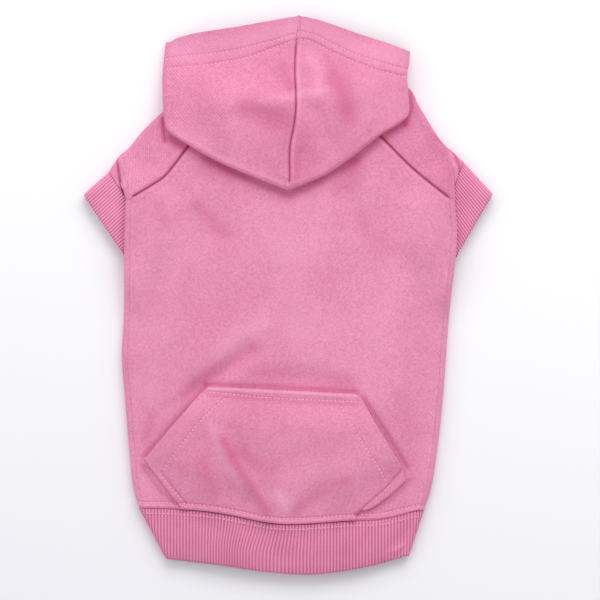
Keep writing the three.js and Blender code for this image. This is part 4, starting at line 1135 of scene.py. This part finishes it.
# One pink fleece in copies of slightly different colour: the hood's is painted a little darker than the body's as
# painted shade; the sleeves' and the pocket's are a little darker too, the right sleeve's most
body_fleece = fleece("body_fleece", (246, 165, 197), (212, 119, 157), lean=0.45)
sleeve_left_fleece = fleece("sleeve_left_fleece", (243, 160, 193), (208, 114, 152), lean=0.6, noise_seed=20)
sleeve_right_fleece = fleece(
    "sleeve_right_fleece", (240, 156, 189), (201, 106, 145), wale=1.6, lean=0.05, noise_seed=30, contrast=2.0
)
hood_fleece = fleece("hood_fleece", (244, 159, 192), (210, 113, 152), lean=0.5, noise_seed=10, contrast=1.3)
pocket_fleece = fleece("pocket_fleece", (244, 162, 194), (210, 115, 152), lean=0.5, noise_seed=40)
hem_rib = ribbing("hem_rib", (248, 163, 197), (200, 99, 140))
cuff_rib = ribbing("cuff_rib", (255, 175, 209), (214, 112, 154))
stitching = thread("stitching", (255, 196, 220), (240, 162, 196))

# The pieces
# Painted shade along the raglan seams, down the crown seam and on across the hood's hem, with a painted highlight on
# the roll beside the crown seam
SEAM_PAINTED_SHADE = [(line, 0.9, 0.9) for line in raglan_lines]
crown_line = crown_seam.line[:290:6]
CROWN_PAINTED_LIGHT = [
    (crown_line, 0.7, 0.75),
    (crown_line + [2.4, 0], 1.4, -0.3),
    (spots((300.5, 14), (300, 34)), 0.6, 0.5),
]
flap = ARC_COLUMNS + UNDER_COLUMNS
back_columns = BODY_COLUMNS + 2 * flap
back = cloth(
    "back_cloth", back_rows(), FLEECE_WALL, body_fleece, BODY_PAINTED_LIGHT + SEAM_PAINTED_SHADE, ["back_panel"],
    lambda j, i: j < RAGLAN_ROWS and (i < flap or i >= back_columns - flap),
)
belly = cloth("belly_cloth", belly_rows(), FLEECE_WALL, body_fleece, [], ["belly_panel"])
sleeves = {
    side: cloth(
        f"sleeve_{side}_cloth", sleeve_rows(side), FLEECE_WALL,
        {"left": sleeve_left_fleece, "right": sleeve_right_fleece}[side],
        SLEEVE_PAINTED_LIGHT + SEAM_PAINTED_SHADE, [f"sleeve_{side}"],
    )
    for side in SIDES
}
hoods = {
    side: cloth(
        f"hood_{side}_cloth", hood_rows(side), FLEECE_WALL, hood_fleece,
        HOOD_PAINTED_LIGHT + CROWN_PAINTED_LIGHT, [f"hood_{side}"],
    )
    for side in SIDES
}
pocket = cloth(
    "pocket_cloth", pocket_rows(), FLEECE_WALL, pocket_fleece, POCKET_PAINTED_LIGHT, ["pocket"]
)
turned_edge = cloth("pocket_turned_edge", turned_edge_rows(), FLEECE_WALL - 0.4, pocket_fleece, [])
for side in SIDES:
    rings, around = cuff_rings(side)
    rib_tube(f"cuff_{side}_rib", rings, round(around / CUFF_RIB_PITCH), 14, cuff_rib, [f"cuff_{side}"])
rings, around = hem_rings()
rib_tube("hem_rib_band", rings, round(around / RIB_PITCH), 22, hem_rib, ["hem_band"])

# Stitching
hood_stitches = {
    side: stitch_run(
        f"hood_{side}_stitches", HOOD_STITCHES[side],
        lambda p, side=side: hood_surface(p, side), stitching,
    )
    for side in SIDES
}
pocket_stitches = stitch_run("pocket_stitches", POCKET_STITCHES, pocket_surface, stitching)


def beside_hem(x_from, x_to, above):
    x = np.linspace(spot(x_from, 0)[0], spot(x_to, 0)[0], 24)
    return np.column_stack([x, hem_seam_y(x) + above])


stitch_run(
    "hem_stitches", [beside_hem(*ends, HEM_STITCH_ABOVE) for ends in ((141, 178), (360, 421))],
    body_surface, stitching,
)
pocket_hem_stitches = stitch_run(
    "pocket_hem_stitches", [beside_hem(182.5, 356, HEM_STITCH_ABOVE)], pocket_surface, stitching
)
stitch_run(
    "band_stitches", [beside_hem(146, 418, -BAND_STITCH_BELOW)],
    lambda p: hem_top(p, BAND_STITCH_BELOW / HEM_DEPTH), stitching,
)

# Floor, light and camera
bm = bmesh.new()
bmesh.ops.create_grid(bm, x_segments=1, y_segments=1, size=4)
floor_mesh = bpy.data.meshes.new("floor")
bm.to_mesh(floor_mesh)
bm.free()
floor = bpy.data.objects.new("floor", floor_mesh)
bpy.context.scene.collection.objects.link(floor)
floor_finish = Finish("floor_paper")
floor_x, floor_y = floor_finish.apart(floor_finish.node("ShaderNodeTexCoord", {}, {}, 3))
# Painted light on the floor: its colour is lighter towards the back and the right and darker towards the front left,
# a painted falloff of the light
far = floor_y * 2.6 + floor_x * 0.9 + 0.75
floor_finish.set("Base Color", floor_finish.blend(far, linear(241, 240, 245), linear(253, 253, 254)))
floor_finish.set("Roughness", 0.9)
floor_mesh.materials.append(floor_finish.material)

scene = bpy.context.scene
scene.view_settings.view_transform = "Standard"
world = bpy.data.worlds.new("studio")
world.use_nodes = True
world.node_tree.nodes["Background"].inputs[0].default_value = (0.98, 0.985, 1.0, 1)
world.node_tree.nodes["Background"].inputs[1].default_value = 0.69
scene.world = world


def softbox(name, place, size, power, aim=(0, 0, 0)):
    light = bpy.data.lights.new(name, "AREA")
    light.shape = "RECTANGLE"
    light.size, light.size_y = size
    light.energy = power
    lamp = bpy.data.objects.new(name, light)
    lamp.location = place
    lamp.rotation_euler = (Vector(aim) - Vector(place)).to_track_quat("-Z", "Y").to_euler()
    lamp.visible_camera = False
    scene.collection.objects.link(lamp)


softbox("main_light", (0.4, 1.7, 1.6), (2.2, 1.4), 28.5)
softbox("side_light", (-1.5, 0.2, 1.3), (0.9, 0.9), 3.7)

camera_data = bpy.data.cameras.new("camera")
camera_data.sensor_width = 36
camera_height = 6.0
frame_width = 600 * PHOTO_SCALE * MM
camera_data.lens = camera_data.sensor_width * camera_height / frame_width
camera_data.clip_end = 100
camera = bpy.data.objects.new("camera", camera_data)
middle = spot(300, 300)
camera.location = ((middle[0] + CENTRE[0]) * MM, (middle[1] + CENTRE[1]) * MM, camera_height)
scene.collection.objects.link(camera)
scene.camera = camera
